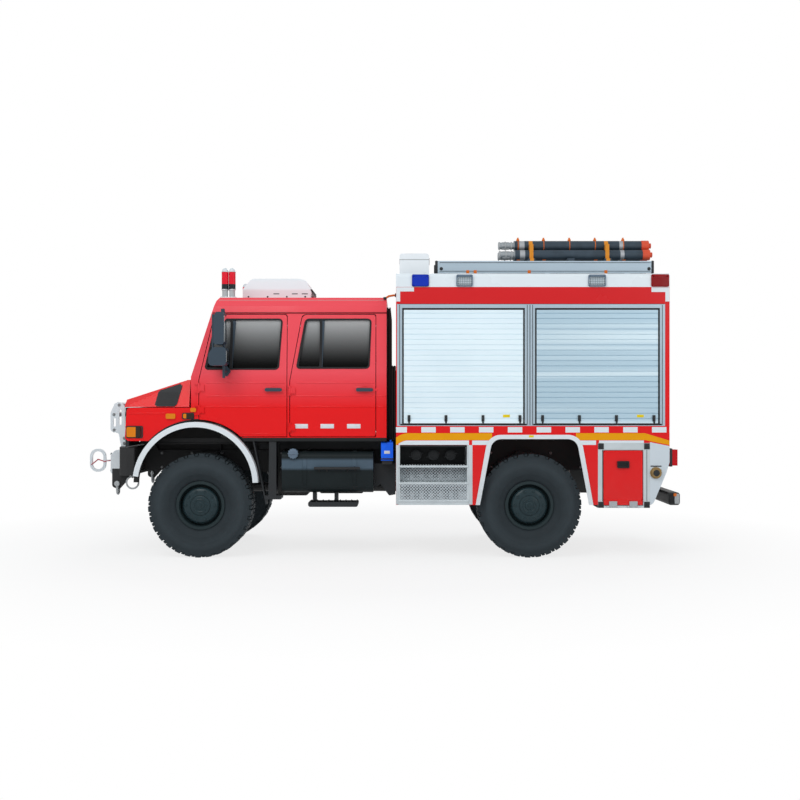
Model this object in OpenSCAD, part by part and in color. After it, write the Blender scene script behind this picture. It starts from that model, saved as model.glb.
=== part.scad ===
// Crew-cab off-road foam fire truck: ladder frame, portal axles on coil springs, short bonnet,
// four-door cab and an equipment body with roller shutters.
// Millimetres. Z is up from the ground, X runs rearwards from nose to tail, Y crosses the truck,
// and the driver's side lies at -Y. The origin is on the ground below the middle of the truck.

/* [Wheels] */
// Distance between the axles
wheelbase = 3750; // [3700:10:3800]
// Distance between the middle planes of the two tyres of an axle
track = 1925; // [1900:5:1935]
// Tyre diameter over the lugs
tyre_d = 1180; // [1120:10:1180]
// Tyre width at the widest point of the side walls
tyre_w = 395; // [370:5:395]
// Depth of the gaps between the lugs
lug_h = 20; // [12:1:26]
// Number of lugs round each half of the tread
lug_count = 30; // [24:1:34]
// Diameter of the rim's bead seat
rim_d = 508; // [500:2:514]
// Height of the axle beam above the wheel centre, through the portal gears
portal_h = 130; // [115:5:140]
// Distance from the tyre's middle plane to the kingpin
kingpin_in = 262; // [258:1:275]
// Diameter of the kingpins
kingpin_d = 50; // [40:2:56]

/* [Chassis] */
// Height of the rails' top face above the ground
frame_top = 1190; // [1170:5:1200]
// Depth of a rail
rail_h = 240; // [220:5:245]
// Width of a rail's flanges
rail_w = 80; // [70:5:85]
// Plate thickness of a rail
rail_t = 10; // [8:1:14]
// Distance over the outside of both rails
frame_w = 760; // [740:5:770]

/* [Cab] */
// Width of the cab at the belt line
cab_w = 2150; // [2130:5:2160]
// Height of the roof's middle above the ground
cab_top = 2975; // [2960:5:2990]
// Height of the door's lower edge above the ground
sill_z = 1376; // [1370:2:1390]
// Height of the belt line above the ground
belt_z = 2080; // [2060:5:2100]
// Wall thickness of doors, pillars and roof
cab_wall = 50; // [40:2:54]
// How far each side leans in from belt to gutter
cab_lean = 55; // [40:5:60]
// Gap round doors, bonnet and flaps
shut_gap = 8; // [6:1:10]
// Thickness of the window panes
pane_t = 12; // [8:1:14]

/* [Equipment body] */
// Distance from the rear axle to the body's rear wall
rear_overhang = 1570; // [1550:5:1590]
// Width of the equipment body
body_w = 2450; // [2440:5:2470]
// Height of the body floor's top above the ground
body_floor_z = 1500; // [1490:5:1510]
// Height of the roof deck's underside above the ground
deck_z = 3069; // [3050:5:3090]
// Height of the roof rails above the deck's underside
rail_up = 158; // [140:2:170]
// Thickness of the body's walls and skirts
body_wall = 36; // [30:2:40]
// Height of one slat of the roller shutters
slat_h = 57; // [45:1:70]

/* [Hidden] */
$fn = 48;
e = 1;                                  // how far a cutter passes through a face
run = 0.1;                              // radial clearance of pins and spindles
seat = 0.3;                             // gap between pieces that sit in one another

// Axles and wheels
front_axle_x = -1960;
rear_axle_x = front_axle_x + wheelbase;
wheel_z = tyre_d / 2;
axle_z = wheel_z + portal_h;
wheel_y = track / 2;
kingpin_y = wheel_y - kingpin_in;
spring_y = 470;
spring_z0 = axle_z + 100;
spring_z1 = frame_top - 70 - seat;

// Cab and nose
cab_y = cab_w / 2;
cab_rear_x = 162;
cab_under = 1320;
cab_floor = cab_under + 40;
gutter_z = 2783;
cowl_x = -2073;
cowl_z = 2056;
crease_z = 1714;
grille_x0 = -2830;
grille_x1 = -2790;
fender_x1 = cowl_x - seat;
fender_in = cab_y - 40;
head_y = 830;
head_z = 1430;
bonnet_x1 = cowl_x - 20;
bonnet_axis_z = cowl_z + 4;
arch_x = front_axle_x - 47;
arch_z = wheel_z + 242;
arch_gap = 122;                         // room between the tyre and the edge of its arch
arch_r = wheel_z + arch_gap;
arch_trim = 60;
flare_y = 1180;
front_door_x0 = -1979;
front_door_x1 = -980;
rear_door_x0 = -940;
rear_door_x1 = 36;
door_top = gutter_z - 12;
pane_top = gutter_z - 65;
front_hinges = [1680, 1930];
rear_hinges = [1480, 1900];
mirror_x = -1728;
// Mirror housings as side outlines with corner radii
mirror_rows = [
    [[-1761, 2412, 30], [-1643, 2412, 30], [-1643, 2775, 34], [-1735, 2775, 24], [-1761, 2715, 24]],
    [[-1817, 2176, 40], [-1619, 2176, 40], [-1619, 2380, 40], [-1765, 2380, 24], [-1817, 2310, 24]]];
// Turn lamps: from x, to x, from z, to z, thickness
amber_rows = [[-2802, -2642, 1370, 1485, 26], [-2356, -2248, 1578, 1638, 22], [-2158, -2044, 1583, 1637, 22],
    [-2077, -2012, 1656, 1703, 16]];
function screen_x(z) = cowl_x + (z - cowl_z) * 0.31;

// Frame and what hangs on it
frame_x0 = -2760;
frame_x1 = rear_axle_x + 1520;
cross_x = [frame_x0, -640, 40, rear_axle_x - 1230, rear_axle_x - 670, rear_axle_x + 470, rear_axle_x + 1010];
bar_x = rear_axle_x + 1730;
transfer_x0 = -1250;
transfer_x1 = -800;
tank_x0 = -1038;
tank_x1 = 8;
tank_in = 560;
can_x0 = 99;
can_x1 = 236;
can_z0 = 1096;
can_z1 = 1312;
can_out = 1050;
eye_r = 22;
jaw_r = 20;

// Equipment body
body_x0 = cab_rear_x + 109;
body_x1 = rear_axle_x + rear_overhang;
body_y = body_w / 2;
floor_under = body_floor_z - 80;
band_z = deck_z - 192;
frame_a = body_x0 + 11;
frame_b = body_x1 - 51;
rear_open = 950;
shut_z0 = body_floor_z + 22;
shut_z1 = band_z - 45;
// Middle post and side shutters: from x, to x
post_x = rear_axle_x - 63;
post_w = 113;
shutter_rows = [[frame_a + 57, post_x], [post_x + post_w, frame_b - 57]];
lamp_z0 = deck_z + 15;
skirt_z0 = 608;
step_x0 = body_x0 + 22;
step_x1 = rear_axle_x - 695;
unit_in = body_y - 365;
locker_x0 = rear_axle_x + 761;
locker_x1 = body_x1 - 221;
locker_z0 = 574;
locker_z1 = 1308;
flap_x0 = locker_x0 + 63;
flap_x1 = locker_x1 - 84;
flap_w = flap_x1 - flap_x0;
flap_z0 = 606;
flap_z1 = 1222;
flap_axis_z = 592;
flap_hinges = [flap_x0 + 0.24 * flap_w, flap_x1 - 0.24 * flap_w];
hinge_half = 0.115 * flap_w;
ladder_x0 = body_x0 + 470;
ladder_x1 = body_x1 - 137;
ladder_y0 = -body_y + 215;
ladder_y1 = ladder_y0 + 410;
tube_x0 = ladder_x1 - 1763;
ladder_z0 = 3252;
ladder_z1 = 3390;

function unit(v) = v / norm(v);
// Arc that rounds corner b of the line a, b, c
function corner(a, b, c, r, n) = r == 0 ? [b] :
    let (u = unit(a - b), v = unit(c - b), half = acos(u * v) / 2,
         m = b + unit(u + v) * r / sin(half),
         p = b + u * r / tan(half) - m, q = b + v * r / tan(half) - m,
         a0 = atan2(p.y, p.x), turn = (atan2(q.y, q.x) - a0 + 540) % 360 - 180)
    [for (i = [0:n]) m + r * [cos(a0 + turn * i / n), sin(a0 + turn * i / n)]];
// Outline with every corner rounded by its third column
function rounded(pts, n = 5) = [for (i = [0:len(pts) - 1])
    let (k = len(pts), a = pts[(i + k - 1) % k], b = pts[i], c = pts[(i + 1) % k])
    each corner([a.x, a.y], [b.x, b.y], [c.x, c.y], b[2], n)];
function arc(m, r, a0, a1, n) = [for (i = [0:n])
    m + r * [cos(a0 + (a1 - a0) * i / n), sin(a0 + (a1 - a0) * i / n)]];
function backwards(pts) = [for (i = [len(pts) - 1:-1:0]) pts[i]];
function mirrored(pts) = concat(pts, [for (i = [len(pts) - 1:-1:0]) [-pts[i].x, pts[i].y]]);
function tyre_r(f) = rim_d / 2 + (tyre_d / 2 - lug_h - rim_d / 2) * f;

module both_sides() { children(); mirror([0, 1, 0]) children(); }
module box(x0, x1, y0, y1, z0, z1) translate([x0, y0, z0]) cube([x1 - x0, y1 - y0, z1 - z0]);
module rod_x(x0, x1, y, z, r) translate([x0, y, z]) rotate([0, 90, 0]) cylinder(h = x1 - x0, r = r);
module rod_y(x, y0, y1, z, r) translate([x, y1, z]) rotate([90, 0, 0]) cylinder(h = y1 - y0, r = r);
module rod_z(x, y, z0, z1, r) translate([x, y, z0]) cylinder(h = z1 - z0, r = r);
// Outline in X and Z, drawn across the truck from y0 to y1
module side_plate(pts, y0, y1) translate([0, y1, 0]) rotate([90, 0, 0]) linear_extrude(y1 - y0) polygon(pts);
// Outline in Y and Z, drawn along the truck from x0 to x1
module cross_bar(pts, x0, x1) translate([x0, 0, 0]) rotate([90, 0, 90]) linear_extrude(x1 - x0) polygon(pts);
// Outline in X and Y, drawn upwards from z0 to z1
module plan_plate(pts, z0, z1) translate([0, 0, z0]) linear_extrude(z1 - z0) polygon(pts);
// Disc or ring sector lying in the side view
module arch_disc(r, y0, y1) rod_y(arch_x, y0, y1, arch_z, r);

// Chassis: two channel rails, cross members, body bearers, spring towers and outriggers
module chassis_frame() {
    fo = frame_w / 2;
    zb = frame_top - rail_h;
    color("#2b2d30") {
        both_sides() {
            cross_bar([[-fo, frame_top], [-fo, zb], [-fo + rail_w, zb], [-fo + rail_w, zb + rail_t],
                [-fo + rail_t, zb + rail_t], [-fo + rail_t, frame_top - rail_t],
                [-fo + rail_w, frame_top - rail_t], [-fo + rail_w, frame_top]], frame_x0, frame_x1);
            box(body_x0 + 60, frame_x1, -fo, -fo + rail_w, frame_top - e, floor_under - seat);
            for (x = [-1200, -20])
                box(x, x + 120, -fo, -fo + rail_w, frame_top - e, cab_under - seat);
            side_plate([[frame_x0, frame_top - e], [frame_x0 + 160, frame_top - e],
                [grille_x1 + 40, 1600], [grille_x1 + seat, 1600], [grille_x1 + seat, 1280], [frame_x0, 1255]],
                -fo, -fo + rail_w);
            for (x = [front_axle_x, rear_axle_x]) difference() {
                box(x - 105, x + 105, -spring_y - 100, -fo + rail_t, frame_top - 70, frame_top - 10);
                box(x - 85, x + 85, -spring_y - 80, -fo - 10, frame_top - 30, frame_top);
            }
            for (x = [tank_x0 + 140, tank_x1 - 220])
                side_plate([[x, frame_top - 20], [x, frame_top - 190], [x + 80, frame_top - 190],
                    [x + 80, frame_top - 20]], -tank_in + seat, -fo + rail_t);
            box(can_x0 + 10, can_x1 - 10, -can_out + 20, -fo + rail_t, can_z0 - 40, can_z0 - seat);
            for (x = [step_x0 + 60, step_x1 - 160, locker_x0 + 80, locker_x1 - 180])
                box(x, x + 90, -unit_in + seat, -fo + rail_t, frame_top - 120, frame_top - 40);
        }
        for (x = cross_x) box(x, x + 70, -fo + rail_t - e, fo - rail_t + e, zb + 40, frame_top - 40);
        box(frame_x1 - 24, frame_x1, -fo + e, fo - e, zb + e, frame_top + 60);
    }
}

// Engine, gearbox and the transfer case that both torque tubes start from
module powertrain() {
    color("#3a3d41") {
        side_plate(rounded([[-2660, 960, 60], [-1860, 960, 30], [-1860, 1470, 60], [-1980, 1560, 40],
            [-2580, 1560, 60], [-2660, 1440, 40]]), -260, 260);
        side_plate(rounded([[-1880, 1000, 0], [-1240, 900, 40], [-1240, 1240, 40], [-1880, 1290, 0]]),
            -190, 190);
        side_plate(rounded([[transfer_x0, axle_z - 95, 40], [transfer_x1, axle_z - 95, 40],
            [transfer_x1, 1230, 60], [transfer_x0, 1230, 60]]), -170, 170);
    }
}

// Banjo casing of an axle, turned about the axle line
module axle_casing(x, end_y) translate([x, 0, axle_z]) {
    rotate([90, 0, 0]) cylinder(h = 2 * end_y, r = 68, center = true);
    translate([0, 70, 0]) rotate([90, 0, 0]) rotate_extrude()
        polygon([[0, -165], [75, -165], [150, -110], [185, -50], [185, 50], [150, 110], [75, 165], [0, 165]]);
    both_sides() translate([0, -spring_y, 50]) cylinder(h = spring_z0 - seat - axle_z - 50, r = 95);
}

// Front axle: casing, fork ears for the kingpins and the front torque tube
module front_axle() {
    color("#33363a") {
        axle_casing(front_axle_x, kingpin_y - 110);
        rod_x(front_axle_x, transfer_x0 - seat, 0, axle_z, 55);
        both_sides() translate([front_axle_x, -kingpin_y, axle_z]) {
            box(-70, 70, 95, 140, -195, 195);
            for (z = [-195, 150]) difference() {
                union() {
                    box(-45, 45, 0, 100, z, z + 45);
                    rod_z(0, 0, z, z + 45, 45);
                }
                rod_z(0, 0, z - e, z + 45 + e, kingpin_d / 2 + run);
            }
        }
    }
}

// Rear axle: casing, portal boxes with fixed spindles and the rear torque tube
module rear_axle() {
    color("#33363a") {
        axle_casing(rear_axle_x, kingpin_y + 60);
        rod_x(transfer_x1 + seat, rear_axle_x, 0, axle_z, 55);
        both_sides() portal(rear_axle_x);
    }
}

// Portal gear box, brake drum and spindle on the driver's side
module portal(x) translate([x, -kingpin_y, 0]) {
    side_plate(rounded([[-115, wheel_z - 150, 90], [115, wheel_z - 150, 90], [115, axle_z + 95, 70],
        [-115, axle_z + 95, 70]]), -95, -50);
    rod_y(0, -kingpin_in + 70, -90, wheel_z, 190);
    rod_y(0, -kingpin_in - 100, -kingpin_in + 75, wheel_z, 60);
}

// Steering knuckle: kingpin boss with the portal gear box
module knuckle() {
    translate([front_axle_x, -kingpin_y, axle_z]) {
        rod_z(0, 0, -145, 145, 62);
        rod_z(0, 0, -200, 200, kingpin_d / 2);
    }
    portal(front_axle_x);
}
module knuckle_left() color("#2f3236") knuckle();
module knuckle_right() color("#2f3236") mirror([0, 1, 0]) knuckle();

// Coil springs round their dampers, drawn as turned bellows
module coil_springs() {
    pitch = (spring_z1 - spring_z0 - 40) / 6;
    color("#1f2123") for (x = [front_axle_x, rear_axle_x]) both_sides()
        translate([x, -spring_y, spring_z0]) rotate_extrude() polygon(concat([[0, 0], [80, 0], [80, 20]],
            [for (i = [0:5]) each [[52, 20 + pitch * (i + 0.1)], [82, 20 + pitch * (i + 0.4)],
                [82, 20 + pitch * (i + 0.65)]]],
            [[52, 20 + pitch * 5.95], [80, spring_z1 - spring_z0 - 20], [80, spring_z1 - spring_z0],
            [0, spring_z1 - spring_z0]]));
}

// Tyre carcass with staggered lugs on both halves of the tread
module lug_ring(turn) rotate([0, 0, turn]) linear_extrude(tyre_w / 2 - 22) difference() {
    p = 360 / lug_count;
    polygon([for (i = [0:lug_count - 1]) each [
        tyre_r(0.97) * [cos(i * p), sin(i * p)], tyre_d / 2 * [cos((i + 0.08) * p), sin((i + 0.08) * p)],
        tyre_d / 2 * [cos((i + 0.56) * p), sin((i + 0.56) * p)],
        tyre_r(0.97) * [cos((i + 0.64) * p), sin((i + 0.64) * p)]]]);
    circle(r = tyre_r(0.8));
}
module tyre() {
    w = tyre_w / 2;
    half = [[tyre_r(0) + seat, w - 70], [tyre_r(0.075), w - 70], [tyre_r(0.15), w - 46],
        [tyre_r(0.33), w - 12], [tyre_r(0.56), w], [tyre_r(0.78), w - 7], [tyre_r(0.93), w - 24],
        [tyre_r(1), w - 48]];
    rotate([90, 0, 0]) {
        rotate_extrude() polygon(concat(half, [for (i = [len(half) - 1:-1:0]) [half[i].x, -half[i].y]]));
        lug_ring(0);
        mirror([0, 0, 1]) lug_ring(180 / lug_count);
    }
}
// Wheel disc with a raised hub, one revolve from bore to flanges
module rim() {
    r = rim_d / 2;
    rotate([90, 0, 0]) rotate_extrude() polygon([[60 + run, 20], [84, 20], [84, 96], [192, 96], [192, 40],
        [r - 18, 28], [r - 18, -118], [r - 10, -142], [r + 22, -142], [r + 22, -130], [r, -128], [r, -90],
        [r - 8, -60], [r - 8, 60], [r, 90], [r, 128], [r + 22, 130], [r + 22, 142], [r - 10, 142],
        [r - 18, 118], [r - 18, 42], [206, 56], [206, 108], [90, 108], [90, 128], [0, 128], [0, 112],
        [60 + run, 112]]);
}
module at_wheel(x) translate([x, -wheel_y, wheel_z]) children();
module tyre_front_left() color("#17181a") at_wheel(front_axle_x) tyre();
module tyre_front_right() color("#17181a") mirror([0, 1, 0]) at_wheel(front_axle_x) tyre();
module tyre_rear_left() color("#17181a") at_wheel(rear_axle_x) tyre();
module tyre_rear_right() color("#17181a") mirror([0, 1, 0]) at_wheel(rear_axle_x) tyre();
module rim_front_left() color("#3b4452") at_wheel(front_axle_x) rim();
module rim_front_right() color("#3b4452") mirror([0, 1, 0]) at_wheel(front_axle_x) rim();
module rim_rear_left() color("#3b4452") at_wheel(rear_axle_x) rim();
module rim_rear_right() color("#3b4452") mirror([0, 1, 0]) at_wheel(rear_axle_x) rim();

// Front bumper with the two tow-eye brackets under it
module front_bumper() {
    color("#2a2c2f") {
        plan_plate(rounded([[-2980, -640, 60], [-2905, -1010, 40], [-2820, -1045, 30], [-2720, -1045, 20],
            [-2720, -960, 20], [frame_x0 - seat, -880, 20], [frame_x0 - seat, 880, 20], [-2720, 960, 20],
            [-2720, 1045, 20], [-2820, 1045, 30], [-2905, 1010, 40], [-2980, 640, 60]]), 925, 1249);
        both_sides() difference() {
            side_plate(rounded([[-3010, 1000, 0], [-3010, 790, 40], [-2930, 760, 30], [-2840, 860, 20],
                [-2800, 940, 0], [-2800, 1000, 0]]), -930, -895);
            rod_y(-2945, -931, -894, 830, eye_r);
        }
    }
}

// Recovery winch in front of the bumper, with rope, ring and strap
module winch() {
    x1 = -2980 - seat;
    color("#e8e9ea") {
        difference() {
            side_plate(rounded([[-3177, 900, 30], [x1, 900, 0], [x1, 1190, 0], [-3120, 1190, 60],
                [-3177, 1130, 30]]), -350, 350);
            box(-3178, -3090, -220, 220, 955, 1125);
        }
        rod_y(-3095, -230, 230, 1040, 62);
        rod_x(-3360, -3140, 0, 1045, 11);
        difference() {
            side_plate(rounded([[-3520, 905, 95], [-3322, 905, 95], [-3322, 1190, 95], [-3520, 1190, 95]],
                8), -16, 16);
            side_plate(rounded([[-3488, 937, 64], [-3354, 937, 64], [-3354, 1158, 64], [-3488, 1158, 64]],
                8), -17, 17);
        }
    }
}

// White bull bar: two slotted cheeks joined by tubes, standing on the bumper
module bull_bar() {
    color("#eceded") {
        both_sides() difference() {
            side_plate(rounded([[-2965, 1249 + seat, 0], [-2880, 1249 + seat, 0], [-2885, 1400, 30],
                [-2918, 1480, 30], [-2918, 1720, 40], [-2985, 1777, 40], [-3040, 1750, 30],
                [-3087, 1640, 40], [-3087, 1430, 30], [-2990, 1400, 30]]), -706, -690);
            side_plate(rounded([[-3052, 1480, 14], [-3024, 1480, 14], [-3024, 1580, 14],
                [-3052, 1580, 14]]), -708, -688);
            side_plate(rounded([[-2985, 1500, 14], [-2957, 1500, 14], [-2957, 1680, 14],
                [-2985, 1680, 14]]), -708, -688);
        }
        for (p = [[-3045, 1442], [-3045, 1622], [-2985, 1735]]) rod_y(p.x, -700, 700, p.y, 30);
    }
}

// Slotted front panel between the fenders
module grille() {
    color("#1e2022") difference() {
        box(grille_x0, grille_x1, -fender_in + seat, fender_in - seat, 1262, crease_z - shut_gap);
        for (z = [1420:58:1652]) box(grille_x0 - e, grille_x1 + e, -560, 560, z, z + 34);
        box(grille_x0 - e, grille_x1 + e, -520, 520, 1290, 1350);
        both_sides() rod_x(grille_x0 - e, grille_x1 + e, -head_y, head_z, 96 + seat);
    }
}

// Fenders: flat outer wall that runs on as a band round the wheel arch
module front_fenders() {
    color("#b3161b") both_sides() translate([0, -fender_in, 0]) rotate([90, 0, 0])
        linear_extrude(cab_y - fender_in) difference() {
            union() {
                polygon(rounded([[grille_x0, 1325, 50], [fender_x1, 1325, 0],
                    [fender_x1, crease_z - shut_gap, 0], [grille_x0 + 25, crease_z - shut_gap, 40]]));
                intersection() {
                    translate([arch_x, arch_z]) circle(r = arch_r + 10, $fn = 96);
                    translate([arch_x - 900, arch_z + 20]) square([1800, 900]);
                }
            }
            translate([arch_x, arch_z]) circle(r = arch_r - arch_trim + 13, $fn = 96);
        }
}

// White flares round the front arches and flat bands round the rear arches
module arch_trims() {
    color("#eef0f1") both_sides() {
        for (f = [[arch_trim, -flare_y + 14], [14, -cab_y - seat]])
            side_plate(concat(arc([arch_x, arch_z], arch_r, 172, 2, 40),
                arc([arch_x, arch_z], arch_r - f[0], 2, 172, 40)), -flare_y, f[1]);
        side_plate(concat(rounded(rear_arch(48, skirt_z0), 8), backwards(rounded(rear_arch(0, skirt_z0), 8))),
            -body_y - 12, -body_y - seat);
    }
}

// Bonnet: a shell lofted from the low nose to the cowl, with hinge barrels at its rear edge
module bonnet_block(in, drop) hull() {
    cross_bar(mirrored([[-cab_y + in, crease_z - drop], [-cab_y + 30 + in, crease_z + 20 - in / 2],
        [-965 + in, 1797 - in], [-300, 1810 - in]]), grille_x0 + in, grille_x0 + in + 30);
    cross_bar(mirrored([[-cab_y + in, crease_z - drop], [-cab_y + 30 + in, crease_z + 100 - in],
        [-990 + in, 2024 - in], [-300, 2042 - in]]), bonnet_x1 - 30 + 2 * in, bonnet_x1 + 2 * in);
}
module bonnet() {
    color("#b3161b") {
        difference() {
            bonnet_block(0, 0);
            bonnet_block(28, 60);
        }
        both_sides() {
            box(bonnet_x1 - 60, bonnet_x1 - 4, -650, -550, 2000, 2034);
            difference() {
                union() {
                    rod_y(bonnet_x1, -650, -550, bonnet_axis_z, 13);
                    box(bonnet_x1 - 60, bonnet_x1, -650, -550, 2028, bonnet_axis_z + 13);
                }
                rod_y(bonnet_x1, -651, -549, bonnet_axis_z, 6 + run);
            }
        }
    }
}

// Cross-section of the cab, drawn in from the outer skin by i
function section(i) = mirrored([[-cab_y + i, 1100], [-cab_y + i, belt_z], [-cab_y + cab_lean + i, gutter_z],
    [-cab_y + cab_lean + 12 + i, gutter_z + 90], [-cab_y + cab_lean + 90 + i, cab_top - i]]);
module skin(i0, i1, x0, x1) difference() {
    cross_bar(section(i0), x0, x1);
    cross_bar(section(i1), x0 - e, x1 + e);
    box(x0 - 2, x1 + 2, -3000, 3000, 1000, 1110);
}
// Door outlines, grown by g
function door_front(g) = [[front_door_x0 - g, sill_z - g, 0], [front_door_x1 + g, sill_z - g, 0],
    [front_door_x1 + g, door_top + g, 30], [front_door_x0 + 170 - g, door_top + g, 60],
    [front_door_x0 - g, belt_z - 60, 0]];
function door_rear(g) = [[rear_door_x0 - g, sill_z - g, 20], [rear_door_x1 + g, sill_z - g, 20],
    [rear_door_x1 + g, door_top + g, 30], [rear_door_x0 + 141 - g, door_top + g, 60],
    [rear_door_x0 - g, belt_z - 70, 0]];
// Window outlines, drawn in by g
function pane_front(g) = [[front_door_x0 + 66 + g, 2147 + g, 40], [front_door_x1 - 96 - g, 2147 + g, 40],
    [front_door_x1 - 54 - g, pane_top - g, 40], [front_door_x0 + 193 + g, pane_top - g, 40]];
function pane_rear(g) = [[rear_door_x0 + 74 + g, 2158 + g, 40], [rear_door_x1 - 76 - g, 2158 + g, 40],
    [rear_door_x1 - 53 - g, pane_top - g, 40], [rear_door_x0 + 178 + g, pane_top - g, 40]];

// Hinge with the barrel on the door and the ears with the pin on the pillar
module door_barrel(x, z) difference() {
    union() {
        rod_z(x, -cab_y - 16, z - 40, z + 40, 11);
        box(x, x + 60, -cab_y - 22, -cab_y + 5, z - 34, z + 34);
    }
    rod_z(x, -cab_y - 16, z - 41, z + 41, 5 + run);
}
module door_ears(x, z, leaf) {
    rod_z(x, -cab_y - 16, z - 56, z + 56, 5);
    for (s = [-56, 41]) {
        rod_z(x, -cab_y - 16, z + s, z + s + 15, 11);
        box(x - leaf, x, -cab_y - 22, -cab_y + 5, z + s, z + s + 15);
    }
}

// Floor, toe board, shelf over the wheels, firewall and rear wall as one folded plate
module cab_tub() {
    color("#8f1418") {
        intersection() {
            difference() {
                side_plate(rounded([[cowl_x, cowl_z, 0], [cowl_x, 1600, 30], [-1470, 1600, 60],
                    [-1390, cab_under, 60], [cab_rear_x, cab_under, 0], [cab_rear_x, cab_top - 40, 0],
                    [cab_rear_x - 40, cab_top - 40, 0], [cab_rear_x - 40, cab_under + 40, 0],
                    [-1362, cab_under + 40, 30], [-1440, 1640, 30], [cowl_x + 40, 1640, 0],
                    [cowl_x + 40, cowl_z - 60, 30], [cowl_x + 110, cowl_z - 40, 0],
                    [cowl_x + 110, cowl_z, 0]]), -1200, 1200);
                cross_bar(rounded([[-620, 2250, 60], [620, 2250, 60], [620, 2680, 60], [-620, 2680, 60]]),
                    cab_rear_x - 41, cab_rear_x + e);
            }
            cross_bar(section(cab_wall + seat), cowl_x - 1, cab_rear_x + 1);
        }
        both_sides() {
            for (y = [-676, -548]) {
                box(bonnet_x1, cowl_x + 16, y, y + 24, cowl_z - 34, bonnet_axis_z + 4);
                rod_y(bonnet_x1, y, y + 24, bonnet_axis_z, 12);
            }
            rod_y(bonnet_x1, -676, -524, bonnet_axis_z, 6);
        }
    }
}

// Side frames of the cab with the door openings, hinge ears included
module cab_sides() {
    color("#b3161b") both_sides() {
        intersection() {
            difference() {
                side_plate([[cowl_x, 1450], [cowl_x, cowl_z], [screen_x(gutter_z + 17), gutter_z + 17],
                    [cab_rear_x, gutter_z + 17], [cab_rear_x, sill_z - 54], [-1600, sill_z - 54]],
                        -1300, -500);
                side_plate(rounded(door_front(shut_gap)), -1301, -499);
                side_plate(rounded(door_rear(shut_gap)), -1301, -499);
                arch_disc(arch_r + 18, -1301, -499);
            }
            skin(0, cab_wall, cowl_x - 1, cab_rear_x + 1);
        }
        for (z = front_hinges) door_ears(front_door_x0, z, 52);
        for (z = rear_hinges) door_ears(rear_door_x0, z, 28);
    }
}

// Roof pan from windscreen header to rear wall
module cab_roof() {
    color("#b3161b") intersection() {
        side_plate(rounded([[screen_x(gutter_z + 17), gutter_z + 17 + seat, 0], [screen_x(cab_top - 40),
            cab_top - 40, 30],
            [screen_x(cab_top) + 40, cab_top + 20, 0], [cab_rear_x, cab_top + 20, 0],
            [cab_rear_x, gutter_z + 17 + seat, 0]]), -1300, 1300);
        skin(0, cab_wall, cowl_x - 1, cab_rear_x + 1);
    }
}

// Windscreen and rear window
module cab_glass() {
    color("#6f7f86") {
        intersection() {
            side_plate([[screen_x(cowl_z) + 22, cowl_z + seat],
                [screen_x(cowl_z) + 22 + pane_t, cowl_z + seat],
                [screen_x(cab_top - cab_wall) + 22 + pane_t, cab_top - cab_wall - seat],
                [screen_x(cab_top - cab_wall) + 22, cab_top - cab_wall - seat]], -1200, 1200);
            cross_bar(section(cab_wall + seat), cowl_x - 1, cab_rear_x + 1);
        }
        cross_bar(rounded([[-620 + seat, 2250 + seat, 60], [620 - seat, 2250 + seat, 60],
            [620 - seat, 2680 - seat, 60], [-620 + seat, 2680 - seat, 60]]),
            cab_rear_x - 26, cab_rear_x - 26 + pane_t);
    }
}

// Dashboard with the steering column and wheel on the driver's side
module dashboard() {
    color("#232528") {
        intersection() {
            side_plate(rounded([[cowl_x + 40 + seat, 1760, 0], [-1900, 1760, 60], [-1800, 1900, 60],
                [-1800, 2010, 60], [-1860, 2070, 40], [cowl_x + 112, 2070, 0], [cowl_x + 112, cowl_z - 46, 0],
                [cowl_x + 75, cowl_z - 80, 0], [cowl_x + 40 + seat, cowl_z - 110, 0]]), -1200, 1200);
            cross_bar(section(cab_wall + 4), cowl_x - 1, cab_rear_x + 1);
        }
        translate([-1600, -520, 2010]) rotate([0, 62, 0]) {
            rotate_extrude() translate([215, 0]) circle(r = 15);
            cylinder(h = 30, r = 60, center = true);
            for (a = [0, 120, 240]) rotate([0, 0, a + 90]) translate([0, -20, -8]) cube([212, 40, 16]);
            translate([0, 0, -260]) cylinder(h = 250, r = 34);
        }
    }
}

// Two front seats and the crew bench
module seat_form(x, y0, y1) {
    side_plate(rounded([[x, cab_floor + seat, 20], [x + 430, cab_floor + seat, 20], [x + 440, 1740, 0],
        [x + 600, 2330, 34], [x + 520, 2350, 34], [x + 350, 1850, 30], [x - 40, 1850, 60],
        [x - 50, 1720, 40], [x, 1700, 0]]), y0, y1);
}
module seats() {
    color("#3a3d42") {
        both_sides() seat_form(-1280, -790, -270);
        seat_form(-490, -930, 930);
    }
}

// Doors: the cab's skin inside the door outline, with the window cut out
module front_door() {
    intersection() {
        difference() {
            side_plate(rounded(door_front(0)), -1300, -500);
            side_plate(rounded(pane_front(0)), -1301, -499);
            arch_disc(arch_r + 26, -1301, -499);
        }
        skin(0, cab_wall, cowl_x - 1, cab_rear_x + 1);
    }
    for (z = front_hinges) door_barrel(front_door_x0, z);
}
module rear_door() {
    intersection() {
        difference() {
            side_plate(rounded(door_rear(0)), -1300, -500);
            side_plate(rounded(pane_rear(0)), -1301, -499);
        }
        skin(0, cab_wall, cowl_x - 1, cab_rear_x + 1);
    }
    for (z = rear_hinges) door_barrel(rear_door_x0, z);
}
module door_front_left() color("#b3161b") front_door();
module door_front_right() color("#b3161b") mirror([0, 1, 0]) front_door();
module door_rear_left() color("#b3161b") rear_door();
module door_rear_right() color("#b3161b") mirror([0, 1, 0]) rear_door();

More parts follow.
